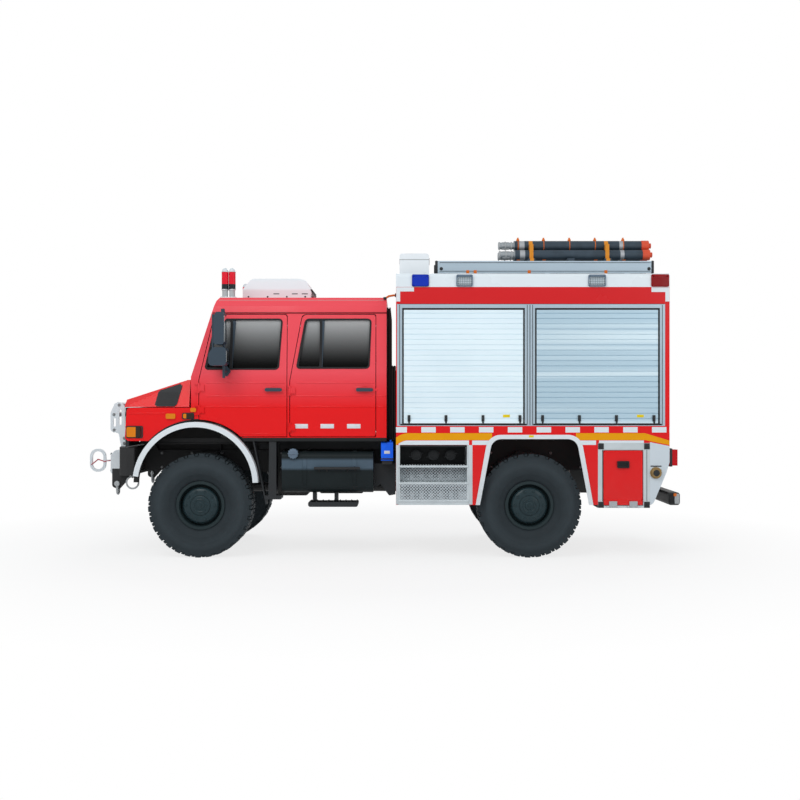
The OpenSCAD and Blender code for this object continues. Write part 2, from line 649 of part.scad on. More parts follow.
module pane(pts) intersection() {
    side_plate(rounded(pts), -1300, -500);
    skin(16, 16 + pane_t, cowl_x - 1, cab_rear_x + 1);
}
module glass_front_left() color("#6f7f86") pane(pane_front(seat));
module glass_front_right() color("#6f7f86") mirror([0, 1, 0]) pane(pane_front(seat));
module glass_rear_left() color("#6f7f86") pane(pane_rear(seat));
module glass_rear_right() color("#6f7f86") mirror([0, 1, 0]) pane(pane_rear(seat));

// Door fittings: pull handle, window bar and, in front, the two mirrors on their arm
module handle(x) difference() {
    side_plate(rounded([[x, 1890, 18], [x + 194, 1890, 18], [x + 194, 1930, 18], [x, 1930, 18]]),
        -cab_y - 38, -cab_y - seat);
    side_plate(rounded([[x + 30, 1880, 0], [x + 164, 1880, 0], [x + 164, 1940, 0], [x + 30, 1940, 0]]),
        -cab_y - 16, -cab_y);
}
module window_bar(x0, x1) intersection() {
    side_plate([[x0 - 18, 2140], [x0 + 18, 2140], [x1 + 18, 2730], [x1 - 18, 2730]], -1300, -500);
    skin(4, 16 - seat, cowl_x - 1, cab_rear_x + 1);
}
module fittings_front() {
    intersection() {
        window_bar(front_door_x0 + 359, front_door_x0 + 398);
        side_plate(rounded(pane_front(seat)), -1300, -500);
    }
    handle(front_door_x1 - 246);
    mirror_y = -cab_y - 150;
    for (m = mirror_rows) side_plate(rounded(m), mirror_y - 190, mirror_y + 20);
    rod_z(mirror_x + 54, mirror_y - 60, 2700, 2818, 22);
    rod_z(mirror_x - 57, mirror_y - 60, 2300, 2758, 14);
    rod_x(mirror_x - 57, mirror_x, mirror_y - 60, 2744, 12);
    rod_y(mirror_x + 64, mirror_y - 60, -cab_y - 10 - seat, 2120, 16);
    rod_z(mirror_x + 64, mirror_y - 60, 2040, 2780, 16);
    side_plate(rounded([[mirror_x + 14, 2120, 16], [mirror_x + 64, 2050, 16], [mirror_x + 114, 2120, 16],
        [mirror_x + 64, 2190, 16]]), -cab_y - 22, -cab_y - seat);
}
module fittings_rear() {
    intersection() {
        window_bar(rear_door_x0 + 350, rear_door_x0 + 375);
        side_plate(rounded(pane_rear(seat)), -1300, -500);
    }
    handle(rear_door_x1 - 222);
}
module fittings_front_left() color("#1d1f21") fittings_front();
module fittings_front_right() color("#1d1f21") mirror([0, 1, 0]) fittings_front();
module fittings_rear_left() color("#1d1f21") fittings_rear();
module fittings_rear_right() color("#1d1f21") mirror([0, 1, 0]) fittings_rear();

// Fuel tank with its cap on the driver's side, air and battery box on the other side
module side_tanks() {
    color("#26282b") {
        both_sides()
            cross_bar(rounded([[-1050, 731, 90], [-tank_in, 731, 30], [-tank_in, 1200, 30],
                [-1050, 1200, 70]], 6), tank_x0, tank_x1);
        rod_y(-906, -1062, -1000, 1180, 60);
    }
}

// Wheelhouse liners, mud flaps, entry steps, the step below the tank and the shields round the tank
module mudguards() {
    color("#1b1c1e") both_sides() {
        side_plate(concat(arc([arch_x, arch_z], arch_r + 4, 140, 42, 24), arc([arch_x, arch_z],
            arch_r - 12, 42, 140, 24)),
            -fender_in + seat, -430);
        side_plate([[-1368, cab_under - seat], [-1352, cab_under - seat], [-1206, 600], [-1222, 600]],
            -1060, -940);
        side_plate(rounded([[-1230, 655, 15], [-1040, 655, 15], [-1040, 700, 0], [-1100, 700, 0],
            [-1100, cab_under - seat, 0], [-1180, cab_under - seat, 0], [-1190, 700, 0], [-1230, 700, 0]]),
                -1060, -850);
        difference() {
            union() {
                side_plate(rounded([[-735, 571, 25], [-164, 571, 25], [-164, 625, 10], [-735, 625, 10]]),
                    -1070, -800);
                for (x = [-690, -440]) side_plate([[x, 600], [x + 40, 600], [x + 40, 731 - seat],
                    [x, 731 - seat]], -960, -800);
            }
            box(-700, -200, -1040, -830, 590, 640);
        }
        side_plate([[tank_x1 + 6, can_z0 - 40 - seat], [tank_x1 + 6, 760], [86, 818], [190, 684],
            [body_x0 - 8, 696], [body_x0 - 8, can_z0 - 40 - seat]], -860, -836);
        box(-1340, tank_x1 + 112, -620, -600, 1215, cab_under - seat);
    }
}

module blue_canister() {
    color("#1f4ea8") {
        cross_bar(rounded([[-can_out, can_z0, 25], [-780, can_z0, 25], [-780, can_z1, 25],
            [-can_out, can_z1, 25]]), can_x0, can_x1);
    }
}

// Air-conditioner on the cab roof and the white stowage box on the body roof
module roof_units() {
    color("#eceded") {
        intersection() {
            side_plate(rounded([[-1568, cab_top + seat, 0], [-762, cab_top + seat, 0], [-748, 3090, 40],
                [-812, 3230, 60], [-900, 3256, 60], [-1472, 3256, 90], [-1568, 3120, 60]]), -500, 500);
            cross_bar(rounded([[-450, cab_top, 0], [450, cab_top, 0], [450, 3120, 60], [370, 3270, 90],
                [-370, 3270, 90], [-450, 3120, 60]]), -1600, -700);
        }
        side_plate(rounded([[body_x0 + 40 + seat, deck_z + 40 + seat, 0],
            [body_x0 + 377, deck_z + 40 + seat, 0], [body_x0 + 377, 3470, 30],
            [body_x0 + 40 + seat, 3470, 30]]), -body_y + 175, -body_y + 605);
    }
}

// Welded body shell: floor, end walls, top bands and corner posts; the sides and the back are open
module body_shell() {
    x0 = body_x0; x1 = body_x1; w = body_wall;
    color("#b3161b") difference() {
        box(x0, x1, -body_y, body_y, floor_under, deck_z);
        box(x0 + w, x1 - w, -body_y + w, body_y - w, body_floor_z, deck_z + e);
        both_sides() box(frame_a, frame_b, -body_y - e, -body_y + w, body_floor_z, band_z);
        box(x1 - w - e, x1 + e, -rear_open, rear_open, body_floor_z, band_z - 45);
        both_sides() box(x0 + 40, x1 - 40, -body_y + 330, -frame_w / 2 - 60, floor_under - e,
            floor_under + 46);
    }
}

// Roof deck with the rounded white rails along both sides and low rails at the ends
module body_roof() {
    color("#eceded") {
        box(body_x0, body_x1, -body_y + 60, body_y - 60, deck_z + seat, deck_z + 40);
        both_sides() cross_bar(rounded([[-body_y, deck_z + seat, 0], [-body_y + 75, deck_z + seat, 0],
            [-body_y + 75, deck_z + rail_up, 25], [-body_y, deck_z + rail_up, 45]], 6), body_x0, body_x1);
        for (x = [body_x0, body_x1 - 40]) box(x, x + 40, -body_y + 70, body_y - 70, deck_z + 30,
            deck_z + 110);
    }
}

// Aluminium frames round the side shutters
module body_posts() {
    color("#b9bcbf") both_sides() difference() {
        box(frame_a + seat, frame_b - seat, -body_y, -body_y + body_wall - seat, body_floor_z + seat,
            band_z - seat);
        for (s = shutter_rows) box(s[0], s[1], -body_y - e, -body_y + body_wall, shut_z0, shut_z1);
    }
}

// Roller shutters: one slat profile drawn along each opening, a bottom bar with the lift handle
function slats(depth, thick, z0, z1) = let (n = floor((z1 - z0 - 60) / slat_h), h = (z1 - z0 - 60) / n)
    concat([[depth, z0], [depth, z0 + 56]],
        [for (i = [0:n - 1]) each [[depth + 5, z0 + 60 + i * h], [depth, z0 + 60 + i * h + 7],
            [depth, z0 + 60 + (i + 1) * h - 4]]],
        [[depth + 5, z1], [depth + thick, z1], [depth + thick, z0]]);
module shutters() {
    color("#c3c6c9") {
        both_sides() for (s = shutter_rows) {
            cross_bar(slats(-body_y + 9, 18, shut_z0 + seat, shut_z1 - seat), s[0] + seat, s[1] - seat);
            side_plate(rounded([[s[0] + 60, shut_z0 + 8, 8], [s[1] - 60, shut_z0 + 8, 8],
                [s[1] - 60, shut_z0 + 30, 8],
                [s[0] + 60, shut_z0 + 30, 8]]), -body_y - 6, -body_y + 12);
        }
        translate([body_x1 + body_y, 0, 0]) mirror([1, 0, 0]) rotate([0, 0, -90])
            cross_bar(slats(body_y + 9, 18, body_floor_z + seat, band_z - 45 - seat),
                -rear_open + seat, rear_open - seat);
    }
}

// Skirt panels below the floor with the step recess, the wheel arch and the locker place cut out
module side_skirts() {
    top = floor_under - seat;
    color("#b3161b") both_sides() difference() {
        side_plate(rounded([[body_x0, skirt_z0, 0], [body_x1 - 190, skirt_z0, 60], [body_x1 - 40, 960, 60],
            [body_x1, 1090, 30], [body_x1, top, 0], [body_x0, top, 0]]), -body_y, -body_y + body_wall);
        box(step_x0, step_x1, -body_y - e, -body_y + body_wall + e, skirt_z0 - e, 1285);
        box(locker_x0, locker_x1, -body_y - e, -body_y + body_wall + e, skirt_z0 - e, locker_z1);
        side_plate(rounded(rear_arch(14, skirt_z0 - 60), 8), -body_y - e, -body_y + body_wall + e);
    }
}
// Rear wheel arch, grown by g, down to height z0
function rear_arch(g, z0) = let (lean = (1260 - z0) * 0.19)
    [[rear_axle_x - 448 - lean - g, z0, 0], [rear_axle_x - 431 - g, 1352 + g, 120 + g],
    [rear_axle_x + 519 + g, 1352 + g, 120 + g], [rear_axle_x + 536 + lean + g, z0, 0]];

// Stair units in the front recesses and hollow lockers behind the rear wheels
module side_lockers() {
    color("#a9acb0") both_sides() {
        difference() {
            box(step_x0 + seat, step_x1 - seat, -body_y, -unit_in, 608, 1285 - seat);
            box(step_x0 + 22, step_x1 - 22, -body_y - e, -unit_in - 20, 1050, 1300);
            box(step_x0 + 22, step_x1 - 22, -body_y - e, -body_y + 120, 858, 1060);
            for (x = [step_x0 + 70:110:step_x1 - 120]) {
                box(x, x + 66, -body_y + 110, -body_y + 140, 900, 1010);
                box(x, x + 66, -body_y - e, -body_y + 16, 680, 810);
            }
            box(step_x0 + 22, step_x1 - 22, -body_y + 142, -unit_in - 20, 600, 1020);
            box(step_x0 + 22, step_x1 - 22, -body_y + 30, -body_y + 150, 600, 830);
        }
        difference() {
            box(locker_x0 + seat, locker_x1 - seat, -body_y, -unit_in, locker_z0, locker_z1 - seat);
            box(flap_x0 + 20, flap_x1 - 20, -body_y - e, -unit_in - 20, flap_z0 + 20, flap_z1 - 20);
            box(flap_x0 - shut_gap, flap_x1 + shut_gap, -body_y - e, -body_y + 36, flap_z0 - shut_gap,
                flap_z1 + shut_gap);
        }
        for (x = flap_hinges) {
            rod_x(x - hinge_half - 16, x + hinge_half + 16, -body_y - 14, flap_axis_z, 5);
            for (s = [-hinge_half - 16, hinge_half + 1]) {
                rod_x(x + s, x + s + 15, -body_y - 14, flap_axis_z, 9);
                box(x + s, x + s + 15, -body_y - 14, -body_y + 4, locker_z0, flap_axis_z + 4);
            }
        }
    }
}
// Locker flap on two hinges along its lower edge
module flap() {
    m = (flap_x0 + flap_x1) / 2;
    side_plate(rounded([[flap_x0, flap_z0, 12], [flap_x1, flap_z0, 12], [flap_x1, flap_z1, 12],
        [flap_x0, flap_z1, 12]]),
        -body_y, -body_y + 26);
    for (x = flap_hinges) difference() {
        union() {
            rod_x(x - hinge_half, x + hinge_half, -body_y - 14, flap_axis_z, 9);
            box(x - hinge_half + 6, x + hinge_half - 6, -body_y - 20, -body_y - 6, flap_axis_z, flap_z0 + 44);
            box(x - hinge_half + 6, x + hinge_half - 6, -body_y - 10, -body_y + 4, flap_z0 + 2, flap_z0 + 44);
        }
        rod_x(x - hinge_half - e, x + hinge_half + e, -body_y - 14, flap_axis_z, 5 + run);
    }
    difference() {
        side_plate(rounded([[m - 68, 1025, 12], [m + 68, 1025, 12], [m + 68, 1104, 12], [m - 68, 1104, 12]]),
            -body_y - 22, -body_y + 4);
        box(m - 48, m + 48, -body_y - 23, -body_y - 8, 1045, 1084);
    }
}
module flap_left() color("#b3161b") flap();
module flap_right() color("#b3161b") mirror([0, 1, 0]) flap();

// Roof ladder on posts that stand on the deck
module roof_ladder() {
    color("#c8cacc") {
        for (y = [ladder_y0, ladder_y1]) side_plate(rounded([[ladder_x0, ladder_z0, 12],
            [ladder_x1, ladder_z0, 12],
            [ladder_x1, ladder_z1, 12], [ladder_x0, ladder_z1, 12]]), y, y + 32);
        for (x = [ladder_x0 + 140:280:ladder_x1 - 100])
            rod_y(x, ladder_y0 + 10, ladder_y1 + 10, (ladder_z0 + ladder_z1) / 2, 17);
        for (x = [ladder_x0 + 250, (ladder_x0 + ladder_x1) / 2, ladder_x1 - 330])
            for (y = [ladder_y0, ladder_y1]) box(x, x + 60, y, y + 32, deck_z + 40 + seat, ladder_z0 + 20);
    }
}

// Bundle of tool tubes strapped on top of the ladder
module roof_tubes() {
    z = ladder_z1 + seat;
    y = ladder_y0 + 180;
    color("#222427") {
        for (x = [330, 780, 1205]) box(tube_x0 + x, tube_x0 + x + 80, ladder_y0, ladder_y1 + 32, z, z + 30);
        for (r = [[-70, 82], [70, 82], [0, 196]]) {
            rod_x(tube_x0 + 180, tube_x0 + 1668, y + r[0], z + r[1], 58);
            rod_x(tube_x0, tube_x0 + 190, y + r[0], z + r[1], 40);
            rod_x(tube_x0 + 1660, tube_x0 + 1744, y + r[0], z + r[1], 62);
            rod_x(tube_x0 + 1740, tube_x0 + 1773, y + r[0], z + r[1], 30);
        }
        for (x = [350, 1225]) box(tube_x0 + x, tube_x0 + x + 44, y - 128, y + 128, z + 20, z + 200);
    }
}

// Head lamps in the grille and work lamps on the roof rails
module rail_lamp(x0, x1) side_plate(rounded([[x0, lamp_z0, 30], [x1, lamp_z0, 30], [x1, lamp_z0 + 96, 30],
    [x0, lamp_z0 + 96, 30]]), -body_y - 22, -body_y - seat);
module clear_lamps() {
    color("#dfe6ea") both_sides() {
        rod_x(grille_x0 - 22, grille_x1, -head_y, head_z, 96);
        rail_lamp(body_x0 + 689, body_x0 + 858);
        rail_lamp(body_x1 - 910, body_x1 - 730);
    }
}
// Beacons in pairs on the cab roof, upper rear lamps and tail lamps
module red_lamps() {
    color("#c01a1f") both_sides() {
        for (x = [-1714, -1632]) translate([x, -870, cab_top + seat]) rotate_extrude()
            polygon([[0, 0], [34, 0], [34, 95], [40, 100], [40, 290], [34, 325], [20, 345], [0, 350]]);
        rail_lamp(body_x1 - 199, body_x1 - 18);
        box(body_x1 + seat, body_x1 + 90, -body_y, -body_y + 120, 1052, 1234);
    }
}
// Turn lamps on the nose corners and fenders
module amber_lamps() {
    color("#e08a12") both_sides() for (l = amber_rows)
        side_plate(rounded([[l[0], l[2], 16], [l[1], l[2], 16], [l[1], l[3], 16], [l[0], l[3], 16]]),
            -cab_y - l[4], -cab_y - seat);
}
module blue_lamps() {
    color("#1d3fae") both_sides() rail_lamp(body_x0 + 192, body_x0 + 361);
}

// Rear underrun bar hung from the frame end
module underrun_bar() {
    color("#202224") {
        side_plate(rounded([[bar_x - 135, 590, 30], [bar_x, 590, 30], [bar_x, 735, 30],
            [bar_x - 135, 735, 30]]),
            -1050, 1050);
        both_sides() side_plate([[frame_x1 + seat, frame_top - rail_h + 20],
            [frame_x1 + seat, frame_top - 60],
            [frame_x1 + 40, frame_top - 60], [bar_x - 70, 720], [bar_x - 70, 640], [bar_x - 130, 640]],
                -370, -350);
    }
}
// Tow jaw with a drop-in pin hole, bolted to the last cross member
module tow_coupling() {
    color("#2c2e31") difference() {
        union() {
            box(frame_x1 + seat, frame_x1 + 26, -120, 120, 985, 1165);
            side_plate(rounded([[frame_x1 + 20, 1010, 0], [frame_x1 + 170, 1010, 30],
                [frame_x1 + 170, 1140, 30],
                [frame_x1 + 20, 1140, 0]]), -70, 70);
        }
        box(frame_x1 + 60, frame_x1 + 171, -71, 71, 1045, 1105);
        rod_z(frame_x1 + 110, 0, 1000, 1150, jaw_r);
    }
}

chassis_frame();
powertrain();
front_axle();
rear_axle();
coil_springs();
knuckle_left();
knuckle_right();
tyre_front_left();
tyre_front_right();
tyre_rear_left();
tyre_rear_right();
rim_front_left();
rim_front_right();
rim_rear_left();
rim_rear_right();
front_bumper();
winch();
bull_bar();
grille();
front_fenders();
arch_trims();
bonnet();
cab_tub();
cab_sides();
cab_roof();
cab_glass();
dashboard();
seats();
door_front_left();
door_front_right();
door_rear_left();
door_rear_right();
glass_front_left();
glass_front_right();
glass_rear_left();
glass_rear_right();
fittings_front_left();
fittings_front_right();
fittings_rear_left();
fittings_rear_right();
side_tanks();
mudguards();
blue_canister();
roof_units();
body_shell();
body_roof();
body_posts();
shutters();
side_skirts();
side_lockers();
flap_left();
flap_right();
roof_ladder();
roof_tubes();
clear_lamps();
red_lamps();
amber_lamps();
blue_lamps();
underrun_bar();
tow_coupling();
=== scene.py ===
import math
import bmesh
import bpy
from mathutils import Matrix, Vector


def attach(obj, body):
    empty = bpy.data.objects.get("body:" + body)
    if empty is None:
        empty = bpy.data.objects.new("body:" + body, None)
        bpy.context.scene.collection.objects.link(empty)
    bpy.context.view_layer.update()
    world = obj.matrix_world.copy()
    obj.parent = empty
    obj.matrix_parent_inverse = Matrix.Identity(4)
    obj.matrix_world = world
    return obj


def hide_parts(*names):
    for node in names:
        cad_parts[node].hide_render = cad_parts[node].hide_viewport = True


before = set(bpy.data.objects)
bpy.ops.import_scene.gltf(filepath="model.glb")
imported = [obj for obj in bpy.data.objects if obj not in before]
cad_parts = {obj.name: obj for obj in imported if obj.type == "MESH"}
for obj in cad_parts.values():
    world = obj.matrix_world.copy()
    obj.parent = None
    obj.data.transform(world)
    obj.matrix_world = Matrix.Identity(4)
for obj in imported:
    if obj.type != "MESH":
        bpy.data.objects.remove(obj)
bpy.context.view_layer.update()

# Ladder frame, bumper, underrun bar and tow jaw.
# Folded and welded steel plate, sprayed satin black. Road dust has settled on it in soft clouds, and
# rows of hexagon bolts hold the brackets to the rails.


class Tone:
    """A shader socket that adds, multiplies and compares like a number."""

    def __init__(self, tree, socket):
        self.tree, self.socket = tree, socket

    def node(self, kind, settings=None, sockets=None, out=0):
        made = self.tree.nodes.new(kind)
        for key, value in (settings or {}).items():
            setattr(made, key, value)
        for key, value in (sockets or {}).items():
            if isinstance(value, Tone):
                self.tree.links.new(value.socket, made.inputs[key])
            else:
                made.inputs[key].default_value = value
        return Tone(self.tree, made.outputs[out])

    def math(self, operation, a, b=0.0):
        return self.node("ShaderNodeMath", {"operation": operation}, {0: a, 1: b})

    def __add__(self, other):
        return self.math("ADD", self, other)

    def __sub__(self, other):
        return self.math("SUBTRACT", self, other)

    def __rsub__(self, other):
        return self.math("SUBTRACT", other, self)

    def __mul__(self, other):
        return self.math("MULTIPLY", self, other)

    def __or__(self, other):
        return self.math("MAXIMUM", self, other)

    def __and__(self, other):
        return self.math("MINIMUM", self, other)

    def __gt__(self, other):
        return self.math("GREATER_THAN", self, other)

    def __lt__(self, other):
        return self.math("LESS_THAN", self, other)

    def __mod__(self, other):
        return self.math("FLOORED_MODULO", self, other)

    def __abs__(self):
        return self.math("ABSOLUTE", self)

    def within(self, low, high):
        return (self > low) & (self < high)

    def clipped(self):
        return (self | 0.0) & 1.0

    __radd__ = __add__
    __rmul__ = __mul__


def start_finish(name):
    """A new finish: the function that feeds its shader, the place on the truck and that place's x, y and z."""
    finish = bpy.data.materials.new(name)
    finish.use_nodes = True
    tree = finish.node_tree
    place = Tone(tree, tree.nodes.new("ShaderNodeTexCoord").outputs["Object"])

    def feed(**sockets):
        """Links a varying value or sets a plain one, three numbers for a tint, and gives the finish."""
        for key, value in sockets.items():
            socket = tree.nodes["Principled BSDF"].inputs[key.replace("_", " ")]
            if isinstance(value, Tone):
                tree.links.new(value.socket, socket)
            else:
                socket.default_value = (*value, 1.0) if isinstance(value, tuple) else value
        return finish

    return feed, place, [place.node("ShaderNodeSeparateXYZ", None, {0: place}, i) for i in range(3)]


def sine(wave):
    return wave.math("SINE", wave)


def hypotenuse(a, b):
    """How far a place lies from a line, from two of its numbers."""
    return a.math("SQRT", a * a + b * b)


def grain(place, scale, detail=3.0, rough=0.55):
    return place.node("ShaderNodeTexNoise", None,
                      {"Vector": place, "Scale": scale, "Detail": detail, "Roughness": rough})


def mix(factor, *tints):
    below, above = [tint if isinstance(tint, Tone) else (*tint, 1.0) for tint in tints]
    return factor.node("ShaderNodeMix", {"data_type": "RGBA"}, {0: factor, 6: below, 7: above}, 2)


def bumps(height, strength, distance):
    return height.node("ShaderNodeBump", None,
                       {"Height": height, "Strength": strength, "Distance": distance})


def coat_nodes(finish, *nodes):
    for node in nodes:
        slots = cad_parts[node].data.materials
        slots.clear()
        slots.append(finish)


def satin_steel(name, tint, dust, metal=0.0):
    """Sprayed satin steel with dust settled on it in soft clouds."""
    feed, place, _ = start_finish(name)
    cloud = grain(place, 2.2, 6.0)
    fine = grain(place, 90.0)
    return feed(Base_Color=mix(cloud * 0.5, tint, dust), Roughness=0.38 + cloud * 0.3,
                Normal=bumps(fine, 0.08, 0.002), Specular_IOR_Level=0.22, Metallic=metal)


def meshed(name, shape):
    mesh = bpy.data.meshes.new(name)
    shape.to_mesh(mesh)
    shape.free()
    return mesh


def placed(name, data):
    made = bpy.data.objects.new(name, data)
    bpy.context.scene.collection.objects.link(made)
    return made


def piece(name, shape, finish, body="chassis"):
    """Closes a mesh, gives it its finish and lets it ride on a body of the truck."""
    bmesh.ops.remove_doubles(shape, verts=shape.verts, dist=0.00002)
    bmesh.ops.recalc_face_normals(shape, faces=shape.faces)
    mesh = meshed(name, shape)
    mesh.materials.append(finish)
    mesh.polygons.foreach_set("use_smooth", [True] * len(mesh.polygons))
    mesh.set_sharp_from_angle(angle=math.radians(32.0))
    made = placed(name, mesh)
    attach(made, body)
    return made


def soften(shape, geom, width, segments=2, affect="EDGES"):
    """Rounds edges, or the corners of a sheet."""
    bmesh.ops.bevel(shape, geom=list(geom), offset=width, offset_type="OFFSET", segments=segments, profile=0.5,
                    affect=affect, clamp_overlap=True, material=-1)


def rod(shape, start, end, radius, sides=16, tip=None, edge=0.0):
    """A round bar between two points, its rims broken by a bevel."""
    start, end = Vector(start), Vector(end)
    run = end - start
    place = Matrix.Translation((start + end) / 2) @ run.to_track_quat("Z", "Y").to_matrix().to_4x4()
    made = bmesh.ops.create_cone(shape, cap_ends=True, segments=sides, radius1=radius,
                                 radius2=radius if tip is None else tip, depth=run.length,
                                 matrix=place)["verts"]
    if edge:
        rims = {e for v in made for e in v.link_edges if any(len(f.verts) == sides for f in e.link_faces)}
        soften(shape, rims, edge)


def peg(shape, x, z, side, inner, outer, *form):
    """A round bar straight out from the left (-1) or the right (+1) flank."""
    rod(shape, (x, side * inner, z), (x, side * outer, z), *form)


def bolts(shape, places, out, radius, height):
    """Hexagon heads with a chamfered crown, each on a washer."""
    out = Vector(out)
    for place in places:
        foot = Vector(place)
        rod(shape, foot, foot + out * height * 0.3, radius * 1.35, 12)
        rod(shape, foot + out * height * 0.3, foot + out * height, radius, 6, radius * 0.93)


black_steel = satin_steel("black_steel", (0.016, 0.017, 0.019), (0.05, 0.049, 0.047))
coat_nodes(black_steel, "chassis_frame", "front_bumper", "underrun_bar", "tow_coupling")
zinc = satin_steel("zinc_bolts", (0.3, 0.31, 0.32), (0.2, 0.2, 0.19))
frame_bolts = bmesh.new()
for side in (-1, 1):
    bolts(frame_bolts, [(x / 100, side * 0.38, z) for x in range(-255, 330, 36) for z in (0.985, 1.155)],
          (0, side, 0), 0.012, 0.014)
    bolts(frame_bolts, [(-2.98, side * y, z) for y in (0.42, 0.56) for z in (0.965, 1.21)],
          (-1, 0, 0), 0.014, 0.016)
piece("frame_bolts", frame_bolts, zinc)

# Shackles and rings of the bumper.
# Forged bow shackles in bare galvanised steel: a bent round bar whose eyes carry a screw pin through
# the bracket, with a collar on the pin's head. A loose ring hangs in a staple at each end of the bumper.


def hoop(shape, centre, axis, radius, wire, steps=32, sides=10):
    """A closed ring of round bar: a circle of the wire's size, spun round the centre."""
    centre, axis = Vector(centre), Vector(axis)
    first = axis.orthogonal().normalized()
    heading = axis.cross(first).to_track_quat("Z", "Y").to_matrix().to_4x4()
    rim = bmesh.ops.create_circle(shape, segments=sides, radius=wire,
                                  matrix=Matrix.Translation(centre + first * radius) @ heading)["verts"]
    bmesh.ops.spin(shape, geom=rim + list({e for v in rim for e in v.link_edges}), cent=centre, axis=axis,
                   angle=math.tau, steps=steps, use_merge=True)


galvanised = satin_steel("galvanised_steel", (0.42, 0.44, 0.45), (0.33, 0.34, 0.34))
shackles = bmesh.new()
for side in (-1, 1):
    eye = Vector((-2.945, side * 0.9125, 0.83))
    rod(shackles, eye - Vector((0, 0.055, 0)), eye + Vector((0, 0.055, 0)), 0.0205, 20, None, 0.003)
    rod(shackles, eye + Vector((0, side * 0.05, 0)), eye + Vector((0, side * 0.066, 0)), 0.031, 20, None, 0.004)
    hoop(shackles, eye + Vector((0, 0, -0.075)), (1, 0, 0), 0.045, 0.013, 28)
    for end in (-0.045, 0.045):
        rod(shackles, eye + Vector((0, end, -0.07)), eye + Vector((0, end, 0.03)), 0.014, 12, None, 0.003)
    hoop(shackles, (-2.757, side * 1.0, 0.925), (1, 0, 0), 0.021, 0.01, 20)
    hoop(shackles, (-2.757, side * 1.0, 0.845), (0, 1, 0), 0.069, 0.01, 40)
piece("bow_shackles_and_rings", shackles, galvanised)

# Axles, knuckles and drive train.
# Rough iron castings, painted dark grey. A ring of bolts holds the cover of each axle head.
casting = satin_steel("grey_casting", (0.035, 0.037, 0.04), (0.075, 0.07, 0.063))
coat_nodes(casting, "powertrain", "front_axle", "rear_axle", "knuckle_left", "knuckle_right")
front_axle, rear_axle = -1.96, 1.79


def around(x, y, z, radius, turn):
    """A point on an upright circle that faces sideways."""
    return x + radius * math.cos(turn), y, z + radius * math.sin(turn)


def turns(count):
    return [math.tau * i / count for i in range(count)]


cover_bolts = bmesh.new()
for axle_x in (front_axle, rear_axle):
    bolts(cover_bolts, [around(axle_x, -0.203, 0.72, 0.128, turn) for turn in turns(12)], (0, -1, 0), 0.009,
          0.014)
piece("axle_cover_bolts", cover_bolts, zinc)

# Coil springs with their dampers.
# Each spring is wound from lacquered round bar between two pressed cups, with the damper tube inside.
# It stands for the plain turned body of the solid model, which keeps its place.
springs = bmesh.new()
for axle_x in (front_axle, rear_axle):
    for side in (-0.47, 0.47):
        foot = Vector((axle_x, side, 0.846))
        place = Matrix.Translation(foot + Vector((0.068, 0, 0))) @ Matrix.Rotation(math.radians(90), 4, "X")
        bar = bmesh.ops.create_circle(springs, cap_ends=True, segments=10, radius=0.0125, matrix=place)["verts"]
        loop = list({e for v in bar for e in v.link_edges}) + list({f for v in bar for f in v.link_faces})
        bmesh.ops.spin(springs, geom=list(bar) + loop, cent=foot, axis=(0, 0, 1), dvec=(0, 0, 0.248 / 132),
                       angle=math.tau * 5.5, steps=132)
        rod(springs, foot + Vector((0, 0, -0.026)), foot + Vector((0, 0, -0.008)), 0.082, 28, None, 0.004)
        rod(springs, foot + Vector((0, 0, 0.252)), foot + Vector((0, 0, 0.2735)), 0.082, 28, None, 0.004)
        rod(springs, foot + Vector((0, 0, -0.01)), foot + Vector((0, 0, 0.15)), 0.036, 20, None, 0.004)
        rod(springs, foot + Vector((0, 0, 0.14)), foot + Vector((0, 0, 0.26)), 0.027, 20)
coils = piece("coil_spring_set", springs, black_steel)
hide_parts("coil_springs")

# Tyres, rims and wheel nuts.
# Off-road tyres of matt black rubber with moulded rings on the side walls and small tread blocks between
# the lugs, on steel wheels in dark blue-grey lacquer. Ten nuts hold each domed disc; a cap closes the hub.
wheels = {"front_left": (front_axle, -1), "front_right": (front_axle, 1), "rear_left": (rear_axle, -1),
          "rear_right": (rear_axle, 1)}
hub_z, wheel_y = 0.59, 0.9625


def rubber(name, axle_x):
    feed, place, (x, y, z) = start_finish(name)
    across, up = x - axle_x, z - hub_z
    radius = hypotenuse(across, up)
    ring = sine(radius * 520.0)
    band = radius.within(0.36, 0.47)
    patch = grain(place, 7.0, 5.0)
    pores = grain(place, 240.0)
    # Painted highlight: a paler band across the middle of the side wall, where its bulge catches the light.
    painted_sidewall_highlight = ((radius - 0.37) * 9.0 | 0.0) & ((0.56 - radius) * 9.0 | 0.0) & 1.0
    dust_and_painted_highlight = mix(patch * 0.45 + painted_sidewall_highlight * 0.35, (0.014, 0.02, 0.024), (0.05, 0.066, 0.076))
    return feed(Base_Color=dust_and_painted_highlight, Roughness=0.62 + patch * 0.25,
                Normal=bumps(ring * band * 0.5 + pores * 0.25, 0.35, 0.003), Specular_IOR_Level=0.22)


